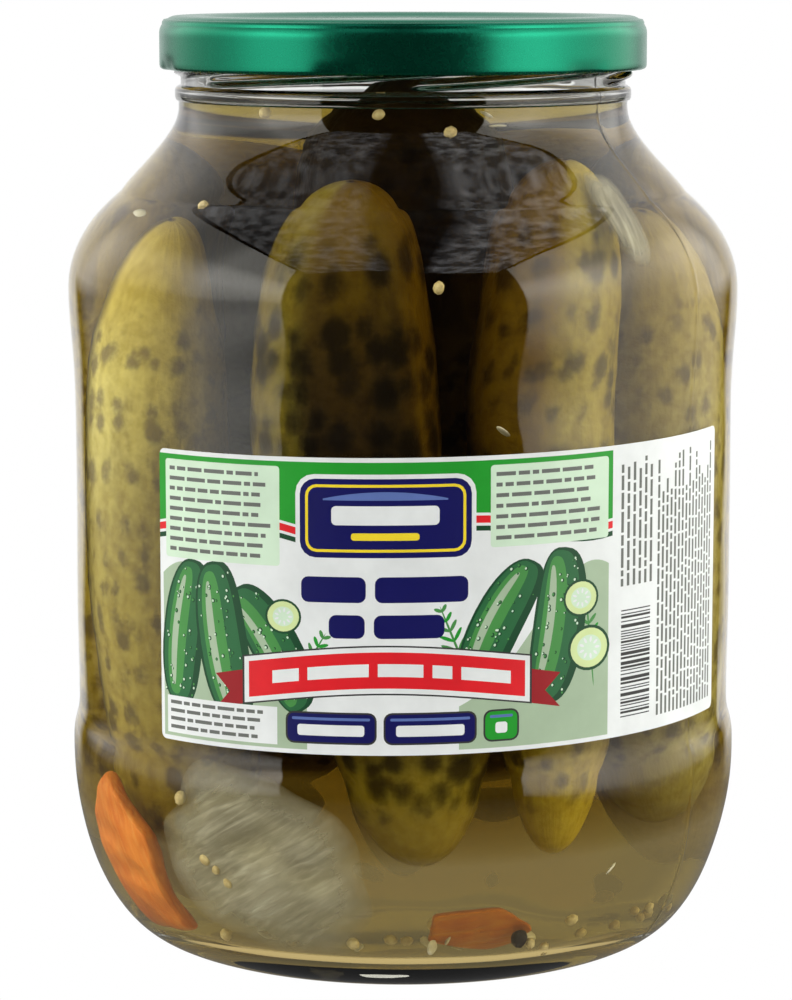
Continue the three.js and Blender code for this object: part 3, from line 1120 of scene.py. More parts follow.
@dataclass(frozen=True)
class LabelPrint:
    """The printed design: green waves, plaque, ribbon, gherkins and slices, and bars in place of words."""

    width: float
    height: float
    face: float = 88.0
    seed: int = 11

    def wave(self, lift: float) -> Curve:
        """Wavy line across the face of the label."""
        return lambda across: lift + 1.7 * np.sin(2.0 * math.pi * (across - 6.0) / 44.0)

    def bars(
            self, ink: Ink, box: tuple[float, float, float, float], lines: int, size: float,
            upright: bool = False) -> list[Shape]:
        """Lines of bars of unlike length, where small print would be.

        Args:
            ink: Ink of the bars.
            box: Left, low, right and high limits.
            lines: Number of lines.
            size: Height of a bar.
            upright: True for lines that run up the label.

        Returns:
            The bars.
        """
        draw = np.random.default_rng(self.seed + lines + int(10 * box[0]))
        left, low, right, high = box
        start, end = (low, high) if upright else (left, right)
        first, last = (left, right) if upright else (high, low)
        shapes: list[Shape] = []
        for line in range(lines):
            base = first + (last - first) * (line + 0.5) / lines
            stop = end - (end - start) * draw.uniform(0.0, 0.16)
            where = start
            while where < stop - size:
                length = min(draw.uniform(1.5, 6.5) * size, stop - where)
                span = (where, base - 0.5 * size, where + length, base + 0.5 * size)
                corners = (span[1], span[0], span[3], span[2]) if upright else span
                shapes.append((ink, Draw.box(*corners)))
                where += length + 0.75 * size
        return shapes

    def top_waves(self) -> list[Shape]:
        """Green top field with two fine lines under its wave."""
        top = self.height - 0.8
        return [
            (Ink.FOREST, Draw.band(0.0, self.face, self.wave(38.2), self.wave(39.1))),
            (Ink.RED, Draw.band(0.0, self.face, self.wave(39.6), self.wave(40.9))),
            (Ink.LEAF, Draw.band(0.0, self.face, self.wave(41.4), lambda across: np.full_like(across, top))),
        ]

    def gherkin(
            self, across: float, up: float, length: float, girth: float, turn: float,
            bow: float) -> list[Shape]:
        """A drawn gherkin with a light side and warts."""
        draw = np.random.default_rng(self.seed + int(across * 10))
        shapes: list[Shape] = []
        for ink, aside, long, wide in (
                (Ink.FOREST, 0.0, 1.0, 1.0), (Ink.PINE, 0.05, 0.96, 0.80), (Ink.GRASS, 0.13, 0.88, 0.44),
                (Ink.SAGE, 0.19, 0.76, 0.15)):
            middle = Draw.turned(across, up, 0.0, aside * girth, turn)
            shapes.append((ink, Draw.sausage(*middle, long * length, wide * girth, turn, bow)))
        for number in range(46):
            x = length * draw.uniform(-0.44, 0.44)
            y = girth * draw.uniform(-0.38, 0.38) + bow * (1.0 - (2.0 * x / length) ** 2)
            size = draw.uniform(0.22, 0.46)
            shine = Ink.MINT if number % 3 else Ink.GRASS
            for ink, aside, share in ((Ink.FOREST, 0.0, 1.0), (shine, 0.14, 0.6)):
                spot = Draw.turned(across, up, x, y + aside, turn)
                shapes.append((ink, Draw.oval(*spot, share * size, 0.8 * share * size, turn, 8)))
        return shapes

    def round_slice(self, across: float, up: float, radius: float) -> list[Shape]:
        """A drawn gherkin slice with its seeds."""
        shapes = [
            (Ink.FOREST, Draw.oval(across, up, radius, 0.92 * radius)),
            (Ink.FLESH, Draw.oval(across, up, 0.88 * radius, 0.8 * radius)),
            (Ink.MINT, Draw.oval(across, up, 0.58 * radius, 0.52 * radius)),
        ]
        for number in range(9):
            turn = 40.0 * number
            spot_x = across + 0.38 * radius * math.cos(math.radians(turn))
            spot_y = up + 0.34 * radius * math.sin(math.radians(turn))
            shapes.append((Ink.PAPER, Draw.oval(spot_x, spot_y, 0.12 * radius, 0.055 * radius, turn, 10)))
        return shapes

    def plaque(self) -> list[Shape]:
        """Navy plaque with a yellow line round it and pale bars."""
        return [
            (Ink.PAPER, Draw.box(29.0, 34.6, 61.0, 50.2, 3.4)),
            (Ink.NAVY, Draw.box(29.8, 35.4, 60.2, 49.4, 2.8)),
            (Ink.SUN, Draw.box(30.8, 36.4, 59.2, 48.4, 2.0)),
            (Ink.NAVY, Draw.box(31.3, 36.9, 58.7, 47.9, 1.6)),
            (Ink.SKY, Draw.band(
                34.0, 56.0, lambda x: np.full_like(x, 45.6), lambda x: 47.1 - 0.01 * (x - 45.0) ** 2)),
            (Ink.PAPER, Draw.box(35.5, 41.2, 54.5, 44.6, 0.8)),
            (Ink.SUN, Draw.box(39.0, 38.5, 51.0, 39.8, 0.5)),
        ]

    def ribbon(self) -> list[Shape]:
        """Red ribbon that rises in the middle, with notched ends folded behind."""
        def arc(lift: float) -> Curve:
            """Arched line at a height."""
            return lambda across: lift + 2.6 * np.cos((across - 45.0) / 26.0 * 0.5 * math.pi)
        left = np.array([(13.0, 7.2), (22.0, 9.0), (22.0, 15.2), (13.0, 13.4), (16.0, 10.4)])
        right = np.array([(77.0, 7.2), (74.0, 10.4), (77.0, 13.4), (68.0, 15.2), (68.0, 9.0)])
        shapes = [(Ink.WINE, left), (Ink.WINE, right)]
        shapes.append((Ink.COAL, Draw.band(18.6, 71.4, arc(8.3), arc(17.2))))
        shapes.append((Ink.PAPER, Draw.band(19.0, 71.0, arc(8.6), arc(16.9))))
        shapes.append((Ink.RED, Draw.band(19.9, 70.1, arc(9.5), arc(16.0))))
        where = 24.5
        for length in (5.0, 11.0, 8.0, 3.5, 9.0):
            shapes.append((Ink.PAPER, Draw.band(where, where + length, arc(11.6), arc(13.9), 8)))
            where += length + 1.6
        return shapes

    def boxes(self) -> list[Shape]:
        """Row of small fields along the foot of the label."""
        shapes: list[Shape] = []
        fields = ((27.0, 43.5, Ink.NAVY), (44.7, 61.2, Ink.NAVY), (62.4, 69.0, Ink.LEAF))
        for left, right, ink in fields:
            shapes.append((Ink.COAL, Draw.box(left, 1.9, right, 7.7, 1.5)))
            shapes.append((ink, Draw.box(left + 0.35, 2.25, right - 0.35, 7.35, 1.2)))
            shapes.append((Ink.SKY, Draw.box(left + 1.2, 6.2, right - 1.2, 6.7, 0.2)))
            shapes.append((Ink.PAPER, Draw.box(left + 2.2, 3.4, right - 2.2, 5.4, 0.5)))
        return shapes

    def bar_field(self, left: float, low: float, right: float, high: float) -> list[Shape]:
        """White field of fine bars of unlike width."""
        draw = np.random.default_rng(self.seed + 90)
        shapes: list[Shape] = [(Ink.PAPER, Draw.box(left - 1.0, low - 1.0, right + 1.0, high + 1.0))]
        where = low
        while where < high - 0.8:
            thick = draw.choice([0.22, 0.22, 0.42, 0.62])
            shapes.append((Ink.COAL, Draw.box(left, where, right, where + thick)))
            where += thick + draw.choice([0.25, 0.25, 0.45])
        return shapes

    def sprig(self, across: float, up: float, length: float, turn: float) -> list[Shape]:
        """A drawn sprig: a stem with small leaves in pairs."""
        middle = Draw.turned(across, up, 0.5 * length, 0.0, turn)
        shapes = [(Ink.GRASS, Draw.oval(*middle, 0.5 * length, 0.22, turn, 12))]
        for number in range(7):
            share = 0.2 + 0.12 * number
            spot = Draw.turned(across, up, share * length, 0.0, turn)
            size = 2.1 - 0.22 * number
            for side in (-48.0, 48.0):
                leaf = Draw.turned(*spot, size, 0.0, turn + side)
                ink = Ink.LEAF if number % 2 else Ink.GRASS
                shapes.append((ink, Draw.oval(*leaf, size, 0.34, turn + side, 10)))
        return shapes

    def garden(self) -> list[Shape]:
        """Hills, with sprigs, gherkins and slices in front, on both sides of the middle."""
        def hill(crest: float) -> Curve:
            """Line over a hill."""
            return lambda across: 6.0 + 27.0 * np.exp(-((across - crest) / 17.0) ** 2)
        shapes: list[Shape] = []
        for left, right, crest in ((0.8, 31.0, 6.0), (58.0, 87.2, 84.0)):
            ground = Draw.band(left, right, lambda across: np.full_like(across, 0.8), hill(crest))
            shapes.append((Ink.SAGE, ground))
        for sprig in (
                (3.0, 12.0, 17.0, 70.0), (27.0, 9.0, 15.0, 60.0),
                (60.5, 12.0, 16.0, 112.0), (84.0, 10.0, 17.0, 96.0)):
            shapes += self.sprig(*sprig)
        for gherkin in (
                (6.6, 20.2, 27.0, 9.6, 82.0, 1.0), (24.0, 18.6, 25.0, 9.4, 120.0, -1.2),
                (15.2, 19.4, 29.0, 10.4, 100.0, 0.8),
                (66.0, 22.8, 25.0, 9.4, 62.0, 1.2), (76.0, 22.0, 28.0, 10.4, 82.0, -0.8)):
            shapes += self.gherkin(*gherkin)
        for cut in ((83.0, 17.2, 4.5), (81.2, 26.4, 3.7), (26.6, 24.6, 3.4)):
            shapes += self.round_slice(*cut)
        return shapes

    def shapes(self) -> list[Shape]:
        """All printed shapes, from the paper upwards."""
        shapes = self.garden()
        shapes.append((Ink.PAPER, Draw.box(0.8, 38.0, self.face, 44.0)))
        shapes += self.top_waves()
        shapes += self.plaque()
        shapes += self.ribbon()
        shapes += self.boxes()
        for block in (
                (30.0, 27.4, 41.6, 32.0), (43.2, 27.4, 59.6, 32.0),
                (35.0, 21.0, 41.4, 25.2), (43.0, 21.0, 55.4, 25.2)):
            shapes.append((Ink.NAVY, Draw.box(*block, 1.3)))
        for box, lines in (((1.6, 33.6, 26.0, 51.4), 9), ((63.6, 36.8, 87.0, 51.4), 7)):
            left, low, right, high = box
            shapes.append((Ink.MINT, Draw.box(*box, 0.6)))
            shapes += self.bars(Ink.SLATE, (left + 1.0, low + 0.7, right - 0.8, high - 0.7), lines, 0.7)
        shapes.append((Ink.PAPER, Draw.box(1.6, 1.4, 25.4, 8.2)))
        shapes += self.bars(Ink.SLATE, (2.4, 1.8, 24.4, 7.8), 4, 0.65)
        shapes.append((Ink.PAPER, Draw.box(self.face, 0.0, self.width, self.height)))
        shapes += self.bar_field(90.2, 3.4, 97.6, 24.0)
        shapes += self.bars(Ink.SLATE, (89.6, 27.4, 98.4, 51.0), 6, 0.62, upright=True)
        shapes += self.bars(Ink.SLATE, (99.2, 2.4, 119.2, 51.0), 16, 0.6, upright=True)
        return shapes


@dataclass(frozen=True)
class Label:
    """Paper label wrapped round the panel, a little askew."""

    glass: JarGlass
    left: float = -44.2
    right: float = 66.5
    low: float = 46.4
    height: float = 53.1
    tilt: float = 0.71
    lift: float = 0.16
    paper: float = 0.14
    corner: float = 1.2
    grid: float = 2.0

    @property
    def width(self) -> float:
        """Length of the label round the glass."""
        return math.radians(self.right - self.left) * self.glass.panel

    @staticmethod
    def holds(outline: Array, points: Array) -> Array:
        """Which points lie inside an outline.

        Args:
            outline: Corners in order.
            points: Places to test.

        Returns:
            True for each place inside.
        """
        inside = np.zeros(len(points), bool)
        for (x0, y0), (x1, y1) in zip(outline, np.roll(outline, -1, axis=0)):
            if y0 == y1:
                continue
            crosses = (points[:, 1] > min(y0, y1)) & (points[:, 1] <= max(y0, y1))
            inside ^= crosses & (points[:, 0] < x0 + (points[:, 1] - y0) * (x1 - x0) / (y1 - y0))
        return inside

    def split(self, sheet: Array, shapes: Sequence[Shape]) -> tuple[Array, Array]:
        """Triangles that follow every printed edge and the grid that bends with the glass.

        Args:
            sheet: Outline of the paper.
            shapes: Printed shapes.

        Returns:
            Flat vertices and the triangles within the paper.
        """
        points: list[Vector] = []
        edges: list[tuple[int, int]] = []
        for outline in (sheet, *(shape for _, shape in shapes)):
            start = len(points)
            inner = np.clip(outline, 0.0, (self.width, self.height))
            points += [Vector(corner) for corner in inner]
            edges += [(start + i, start + (i + 1) % len(outline)) for i in range(len(outline))]
        for across in np.arange(self.grid, self.width, self.grid):
            start = len(points)
            points += [Vector((across, 0.0)), Vector((across, self.height))]
            edges.append((start, start + 1))
        flat, _, faces, *_ = delaunay_2d_cdt(points, edges, [], 0, 1e-4)
        vertices = np.array([(v.x, v.y) for v in flat])
        triangles = np.array([face for face in faces if len(face) == 3])
        middles = vertices[triangles].mean(axis=1)
        return vertices, triangles[self.holds(sheet, middles)]

    def wrapped(self, flat: Array, lift: float) -> Array:
        """Flat places laid round the glass at a distance from it."""
        angle = math.radians(self.left) + flat[:, 0] / self.glass.panel
        climb = math.tan(math.radians(self.tilt)) * self.glass.panel * angle
        return place(angle, np.full(len(flat), self.glass.panel + lift), self.low + flat[:, 1] + climb)

    def build(self) -> Piece:
        """Makes the label piece: printed front, plain back and cut edge."""
        sheet = Draw.box(0.0, 0.0, self.width, self.height, self.corner)
        shapes = LabelPrint(self.width, self.height).shapes()
        flat, front = self.split(sheet, shapes)
        inks = list(Ink)
        paints = np.zeros(len(front), int)
        middles = flat[front].mean(axis=1)
        for ink, outline in shapes:
            paints[self.holds(outline, middles)] = inks.index(ink)
        count = len(flat)
        sides = np.concatenate([front[:, [0, 1]], front[:, [1, 2]], front[:, [2, 0]]])
        known = {tuple(side) for side in sides.tolist()}
        rim = [(a, b) for a, b in known if (b, a) not in known]
        faces = [tuple(face) for face in front.tolist()]
        faces += [(a + count, c + count, b + count) for a, b, c in front.tolist()]
        faces += [(b, a, a + count, b + count) for a, b in rim]
        numbers = paints.tolist() + [0] * (len(front) + len(rim))
        outer, inner = self.wrapped(flat, self.lift + self.paper), self.wrapped(flat, self.lift)
        skin = Skin(np.concatenate([outer, inner]), faces, numbers)
        piece = skin.piece("paper_label", [InkFinish(ink).material() for ink in inks])
        return settle(piece, Slot.LABEL, "label")


Station = tuple[float, float, float]


@dataclass(frozen=True)
class Gherkin:
    """One gherkin along a route from its lower tip to its upper one.

    Attributes:
        girth: Largest radius.
        taper: Share by which the lower end is thinner.
        route: Stations of angle from the front in degrees, distance from the axis and height.
        tints: Colours that the skin is multiplied by at the lower end, the middle and the upper end: partly
            each gherkin's own tone, partly painted light and shade.
        spot: Least and largest radius of the warts.
        seed: Start of the random draw.
        turn_high: Shares of the length between which the upper tint comes in.
        sides: Angles in degrees, from the right towards the back, and the tint of the side that faces there:
            a lighter tint is painted light, a darker one painted shade.
        wart_pitch: Distance between warts.
        blotch: Share by which the skin is darker round its warts.
    """

    girth: float
    taper: float
    route: tuple[Station, ...]
    tints: tuple[Colour, Colour, Colour]
    spot: Pair
    seed: int
    turn_high: Pair = (0.52, 0.84)
    sides: tuple[tuple[float, Colour], ...] = ()
    wart_pitch: float = 5.6
    blotch: float = 0.08
    bluntness: float = 3.4
    lump: float = 0.022
    ridge: float = 0.018
    clearance: float = 0.12
    rows: int = 128
    columns: int = 76

    def axis(self, share: Array) -> Array:
        """Places of the middle line at shares of the length, on a smooth curve through the stations."""
        angle, distance, height = np.array(self.route, float).T
        stations = place(np.radians(angle), distance, height)
        ends = (2 * stations[:1] - stations[1:2], stations, 2 * stations[-1:] - stations[-2:-1])
        points = np.concatenate(ends)
        where = share * (len(stations) - 1)
        first = np.minimum(where.astype(int), len(stations) - 2)
        part = (where - first)[:, None]
        a, b, c, d = (points[first + step] for step in range(4))
        bend = (2 * a - 5 * b + 4 * c - d) * part**2 + (3 * b - a - 3 * c + d) * part**3
        curve = 0.5 * (2 * b + (c - a) * part + bend)
        curve[:, 2] = height[0] + (height[-1] - height[0]) * share
        return curve

    def warts(self, along: Array, turn: Array, radius: Array, length: float) -> tuple[Array, Array]:
        """Relief and colour of the warts.

        Args:
            along: Distance of each row from the lower tip.
            turn: Angle of each column.
            radius: Radius of each row.
            length: Length of the gherkin.

        Returns:
            Height of the relief and strength of the colour, by row and column.
        """
        draw = np.random.default_rng(self.seed)
        height = np.zeros((len(along), len(turn)))
        colour = np.zeros_like(height)
        rows = int(length / self.wart_pitch)
        for row in range(rows):
            middle = (row + 0.5 + draw.uniform(-0.35, 0.35)) * length / rows
            reach = np.interp(middle, along, radius)
            count = max(3, int(2.0 * math.pi * reach / self.wart_pitch))
            shift = draw.uniform(0.0, 2.0 * math.pi)
            for number in range(count):
                angle = shift + (number + draw.uniform(-0.33, 0.33)) * 2.0 * math.pi / count
                size = draw.uniform(*self.spot)
                strength = draw.uniform(0.5, 1.0)
                off = (turn - angle + math.pi) % (2.0 * math.pi) - math.pi
                spread = ((along - middle - draw.uniform(-2.0, 2.0))[:, None] / (1.2 * size)) ** 2
                spread = spread + (off[None, :] * reach / size) ** 2
                height = np.maximum(height, 0.4 * strength * np.exp(-1.6 * spread))
                colour = np.maximum(colour, strength * np.exp(-0.8 * spread))
        return height, colour

    def shades(self, share: Array, turn: Array) -> Array:
        """Tint of painted light and shade, with some of the gherkin's own tone, at shares of the length and
        angles round it.
        """
        low, middle, high = (np.array(tint) for tint in self.tints)
        first = smooth_step(0.08, 0.34, share)[:, None]
        last = smooth_step(*self.turn_high, share)[:, None]
        tint = low + first * (middle - low) + last * (high - middle)
        for side, colour in self.sides:
            facing = 0.5 + 0.5 * np.cos(turn - math.radians(side))
            turned = (smooth_step(0.7, 0.92, facing) * smooth_step(0.1, 0.3, share))[:, None]
            tint = tint + turned * (np.array(colour) - tint)
        return tint

    def skin(self, glass: JarGlass) -> Skin:
        """Makes the gherkin's mesh, kept inside the glass."""
        low, high = self.route[0][2], self.route[-1][2]
        length = high - low
        along = -np.cos(np.linspace(0.0, math.pi, self.rows + 2)[1:-1])
        share = 0.5 * (along + 1.0)
        turn = np.linspace(0.0, 2.0 * math.pi, self.columns, endpoint=False)
        full = np.sqrt(1.0 - np.abs(along) ** self.bluntness)
        radius = self.girth * full * (1.0 - 0.5 * self.taper * (1.0 - along))
        height, colour = self.warts(share * length, turn, radius, length)
        round_it = (np.cos(turn)[None, :], np.sin(turn)[None, :], 5.0 * share[:, None])
        ring = np.stack(np.broadcast_arrays(*round_it), axis=-1)
        lumps = self.lump * Ripples(self.seed + 50, 7, 1.0, 4.0).at(ring)
        ridge = self.ridge * np.cos(3.0 * turn[None, :] + 1.3 * self.seed + 1.5 * share[:, None])
        spread = radius[:, None] * (1.0 + lumps + ridge) + height * full[:, None]
        middle = self.axis(share)
        points = np.stack([
            middle[:, :1] + spread * np.cos(turn), middle[:, 1:2] + spread * np.sin(turn),
            np.broadcast_to(middle[:, 2:], spread.shape)], axis=-1)
        ends = self.axis(np.array([0.0, 1.0]))
        skin = Skin.from_rings(points, ends[0] + (0.0, 0.0, 0.6), ends[1] - (0.0, 0.0, 0.6))
        away = np.hypot(skin.vertices[:, 0], skin.vertices[:, 1])
        limit = glass.wall_at(skin.vertices[:, 2]) - self.clearance
        skin.vertices[:, :2] *= np.minimum(1.0, limit / np.maximum(away, 1e-6))[:, None]
        rows = np.repeat(share, self.columns)
        where = np.concatenate([rows, [0.0, 1.0]])
        around = np.concatenate([np.tile(turn, self.rows), [0.0, 0.0]])
        rise = 5.0 * where + 6.1 * self.seed
        stretch = np.stack([3.2 * np.cos(around), 3.2 * np.sin(around), rise], axis=1)
        edge = np.abs(2.0 * where - 1.0)
        wart = np.concatenate([colour.ravel(), [0.0, 0.0]]) * (1.0 - smooth_step(0.72, 0.97, edge))
        # The tint mark carries painted light and shade, the gherkin's own tone and the darker skin round its
        # warts.
        skin.marks = {
            "wart": wart,
            "along_skin": stretch,
            "tip": smooth_step(0.72, 0.98, edge),
            "scar": smooth_step(0.9985, 0.9998, edge),
            "tint": self.shades(where, around) * (1.0 - self.blotch * smooth_step(0.1, 0.7, wart))[:, None],
        }
        return skin


@dataclass(frozen=True)
class GherkinHeap:
    """Gherkins standing in a ring round one more."""

    glass: JarGlass
    # Painted light and shade: each gherkin's tints and sides make its skin lighter where light fell and
    # darker where shade fell. The first is lighter at its top and shaded on its far side. The second is dark
    # in the middle with lit sides. The third has a lit side. The middle one has a dark top of painted shade.
    gherkins: tuple[Gherkin, ...] = (
        Gherkin(
            15.2, 0.08,
            ((-64, 35.6, 13), (-66, 39.2, 38), (-68.5, 43.5, 72), (-68.5, 43.5, 105), (-67, 41, 131)),
            ((0.95, 0.80, 0.40), (1.02, 0.93, 0.70), (1.66, 1.64, 1.75)), (1.3, 2.2), 1,
            sides=((132.0, (0.36, 0.31, 0.22)),)),
        Gherkin(
            16.4, 0.1, ((4, 40, 23), (1, 41, 37), (-10, 42.3, 72), (-13, 42.3, 108), (-13, 40, 144)),
            ((0.9, 0.78, 0.36), (0.070, 0.041, 0.002), (0.29, 0.198, 0.026)), (1.9, 3.0), 2,
            (0.70, 0.98), ((180.0, (0.50, 0.45, 0.20)), (5.0, (0.32, 0.20, 0.004))), 6.0, 0.6),
        Gherkin(
            14.2, 0.3, ((37, 41, 23.5), (36, 42.5, 37), (32, 43.8, 72), (32, 43.6, 108), (46, 38.5, 147)),
            ((1.4, 1.22, 0.5), (0.38, 0.25, 0.02), (0.36, 0.24, 0.02)), (1.4, 2.3), 3,
            (0.7, 0.95), ((335.0, (0.86, 0.76, 0.42)),), 5.6, 0.3),
        Gherkin(
            16.0, 0.0, ((75, 41, 25), (74, 42.5, 60), (73, 42.7, 95), (72, 41, 131.5)),
            ((1.0, 0.95, 0.9), (0.9, 0.82, 0.7), (1.0, 0.9, 0.8)), (1.4, 2.3), 4),
        Gherkin(
            15.8, 0.1, ((118, 40, 15), (117, 42.6, 60), (117, 42.8, 100), (118, 39, 143)),
            ((1.3, 1.2, 1.0), (1.5, 1.4, 1.2), (1.2, 1.1, 1.0)), (1.3, 2.2), 5),
        Gherkin(
            15.6, -0.1, ((163, 39, 18), (162, 42.6, 60), (161, 42.8, 100), (160, 39, 145)),
            ((0.9, 0.85, 0.8), (0.9, 0.85, 0.8), (0.9, 0.85, 0.8)), (1.5, 2.5), 6),
        Gherkin(
            16.0, 0.15, ((206, 40, 14), (206, 42.5, 60), (205, 42.6, 100), (206, 40, 137)),
            ((1.05, 1.0, 0.9), (1.05, 1.0, 0.9), (1.0, 0.95, 0.85)), (1.3, 2.2), 7),
        Gherkin(
            15.8, 0.0, ((251, 40, 17), (250, 42.6, 60), (250, 42.6, 100), (249, 38.5, 143)),
            ((1.3, 1.2, 1.0), (1.5, 1.4, 1.2), (1.2, 1.1, 1.0)), (1.4, 2.3), 8),
        Gherkin(
            19.5, 0.45, ((180, 3, 15), (180, 1, 60), (0, 1, 100), (0, 3, 165)),
            ((1.2, 1.1, 1.0), (0.36, 0.27, 0.10), (0.080, 0.055, 0.020)), (1.5, 2.5), 9),
    )

    def build(self) -> Piece:
        """Makes the heap as one piece of separate gherkins, standing for the pickles node."""
        skin = Skin.merged(gherkin.skin(self.glass) for gherkin in self.gherkins)
        return settle(skin.piece("gherkins", [GherkinFinish().material()], 70.0), Slot.GHERKIN, "pickles")


@dataclass(frozen=True)
class Slice:
    """A cut piece of vegetable that lies along the inside of the glass.

    Attributes:
        name: Name of the piece.
        node: Solid that it stands for.
        slot: Material slot.
        angle: Angle of its middle from the front, in degrees.
        height: Height of its middle.
        across: Width.
        up: Length.
        through: Thickness.
        turn: Turn in the plane of the wall, in degrees.
        lobes: Number of lobes round its edge.
        lobe_depth: Share by which the lobes stand out.
        wave: Height of the waves in its face.
        square: 2 for an oval outline, more for a squarer one.
        vein: Angle of the veins in the slice, in degrees.
        seed: Start of the random draw.
        clearance: Distance from the glass.
        ragged: Share by which the outline is uneven.
    """

    name: str
    node: str
    slot: Slot
    angle: float
    height: float
    across: float
    up: float
    through: float
    turn: float
    lobes: int
    lobe_depth: float
    wave: float
    square: float
    vein: float
    seed: int
    clearance: float = 0.45
    ragged: float = 0.035
    rings: int = 18
    columns: int = 96

    def rows(self) -> Array:
        """Share of the outline and depth through the slice for each ring, over a rounded edge."""
        face = np.linspace(0.06, 0.9, self.rings)
        edge = np.linspace(-0.5 * math.pi, 0.5 * math.pi, 9)
        rim = np.stack([0.92 + 0.08 * np.cos(edge), 0.5 * np.sin(edge)], axis=1)
        front = np.stack([face, np.full_like(face, -0.5)], axis=1)
        back = np.stack([face[::-1], np.full_like(face, 0.5)], axis=1)
        return np.concatenate([front, rim, back])

    def build(self, glass: JarGlass, finish: FleshFinish) -> Piece:
        """Makes the slice.

        Args:
            glass: Jar that it lies in.
            finish: Finish of its flesh.

        Returns:
            The piece, standing for its node.
        """
        share, deep = self.rows().T
        angle = np.linspace(0.0, 2.0 * math.pi, self.columns, endpoint=False)
        cosine, sine = np.cos(angle), np.sin(angle)
        outline = (np.abs(cosine) ** self.square + np.abs(sine) ** self.square) ** (-1.0 / self.square)
        circle = np.stack([cosine, sine], axis=-1)
        outline = outline * (1.0 + self.ragged * Ripples(self.seed, 7, 0.5, 2.0).at(circle))
        outline = outline * (1.0 - self.lobe_depth * np.abs(np.sin(0.5 * self.lobes * angle)))
        x = 0.5 * self.across * share[:, None] * outline * cosine
        z = 0.5 * self.up * share[:, None] * outline * sine
        flat = np.stack([x, z], axis=-1)
        waves = self.wave * Ripples(self.seed + 5, 6, 5.0, 16.0).at(flat)
        thick = self.through * np.broadcast_to(deep[:, None], x.shape) + waves
        ends = np.array([[0.0, 0.0, -0.5 * self.through], [0.0, 0.0, 0.5 * self.through]])
        local = np.concatenate([np.stack([x, z, thick], axis=-1).reshape(-1, 3), ends])
        skin = Skin.from_rings(local[:-2].reshape(len(share), self.columns, 3), local[-2], local[-1])
        tilt = math.radians(self.turn)
        along = local[:, 0] * math.cos(tilt) + local[:, 1] * math.sin(tilt)
        rise = self.height + local[:, 1] * math.cos(tilt) - local[:, 0] * math.sin(tilt)
        wall = glass.wall_at(rise)
        depth = np.maximum(self.clearance + 0.5 * self.through + local[:, 2], 0.15)
        skin.vertices = place(math.radians(self.angle) + along / wall, wall - depth, rise)
        lean = math.radians(self.vein)
        with_vein = local[:, 0] * math.cos(lean) + local[:, 1] * math.sin(lean)
        past_vein = local[:, 1] * math.cos(lean) - local[:, 0] * math.sin(lean)
        skin.marks = {
            "along_skin": np.stack([0.12 * with_vein, 1.1 * past_vein, local[:, 2]], axis=1),
            "rim": np.concatenate([np.repeat(share, self.columns), [0.0, 0.0]]),
        }
        piece = skin.piece(self.name, [finish.material()], 70.0)
        return settle(piece, self.slot, self.node)


@dataclass(frozen=True)
class Vegetables:
    """Carrot and onion between the gherkins and the glass."""

    glass: JarGlass
    # Painted shade: a darker copy of the carrot finish for the front piece, which lies deeper in the brine.
    steeped: FleshFinish = FleshFinish(
        "carrot_shaded_copy", (0.47, 0.135, 0.004), (0.52, 0.20, 0.010), (0.40, 0.09, 0.003),
        0.9, 0.6, 1.0, Patches(160.0, 0.9))
    carrot: FleshFinish = FleshFinish(
        "carrot_flesh", (0.74, 0.215, 0.022), (0.80, 0.33, 0.065), (0.62, 0.145, 0.010),
        0.9, 0.6, 1.0, Patches(160.0, 0.9))
    onion: FleshFinish = FleshFinish(
        "onion_flesh", (0.36, 0.325, 0.23), (0.58, 0.54, 0.42), (0.17, 0.145, 0.09),
        0.8, 0.55, 0.74, Patches(62.0, 0.9))
    slices: tuple[Slice, ...] = (
        Slice(
            "carrot_piece_left", "carrot_left", Slot.CARROT,
            -60.0, 20.8, 21, 32, 5, -30, 5, 0.16, 0.5, 2.0, 80.0, 21),
        Slice(
            "carrot_piece_front", "carrot_front", Slot.CARROT,
            15.5, 12.2, 22, 9, 4, 4, 5, 0.14, 0.2, 2.2, 10.0, 22, 4.5),
        Slice(
            "onion_piece", "onion_scale", Slot.ONION,
            -26.5, 24.2, 42, 31, 2.4, 26, 3, 0.02, 0.6, 2.9, 58.0, 23, 0.6, 0.05),
        Slice(
            "onion_sliver", "onion_strip", Slot.ONION,
            46, 138.5, 8, 16, 2, 8, 2, 0.04, 0.2, 3.5, 80.0, 24),
    )

    def build(self) -> None:
        """Makes each slice with the finish of its kind."""
        # The front carrot takes the darker copy of painted shade.
        finishes = {"carrot_left": self.carrot, "carrot_front": self.steeped}
        for cut in self.slices:
            cut.build(self.glass, finishes.get(cut.node, self.onion))


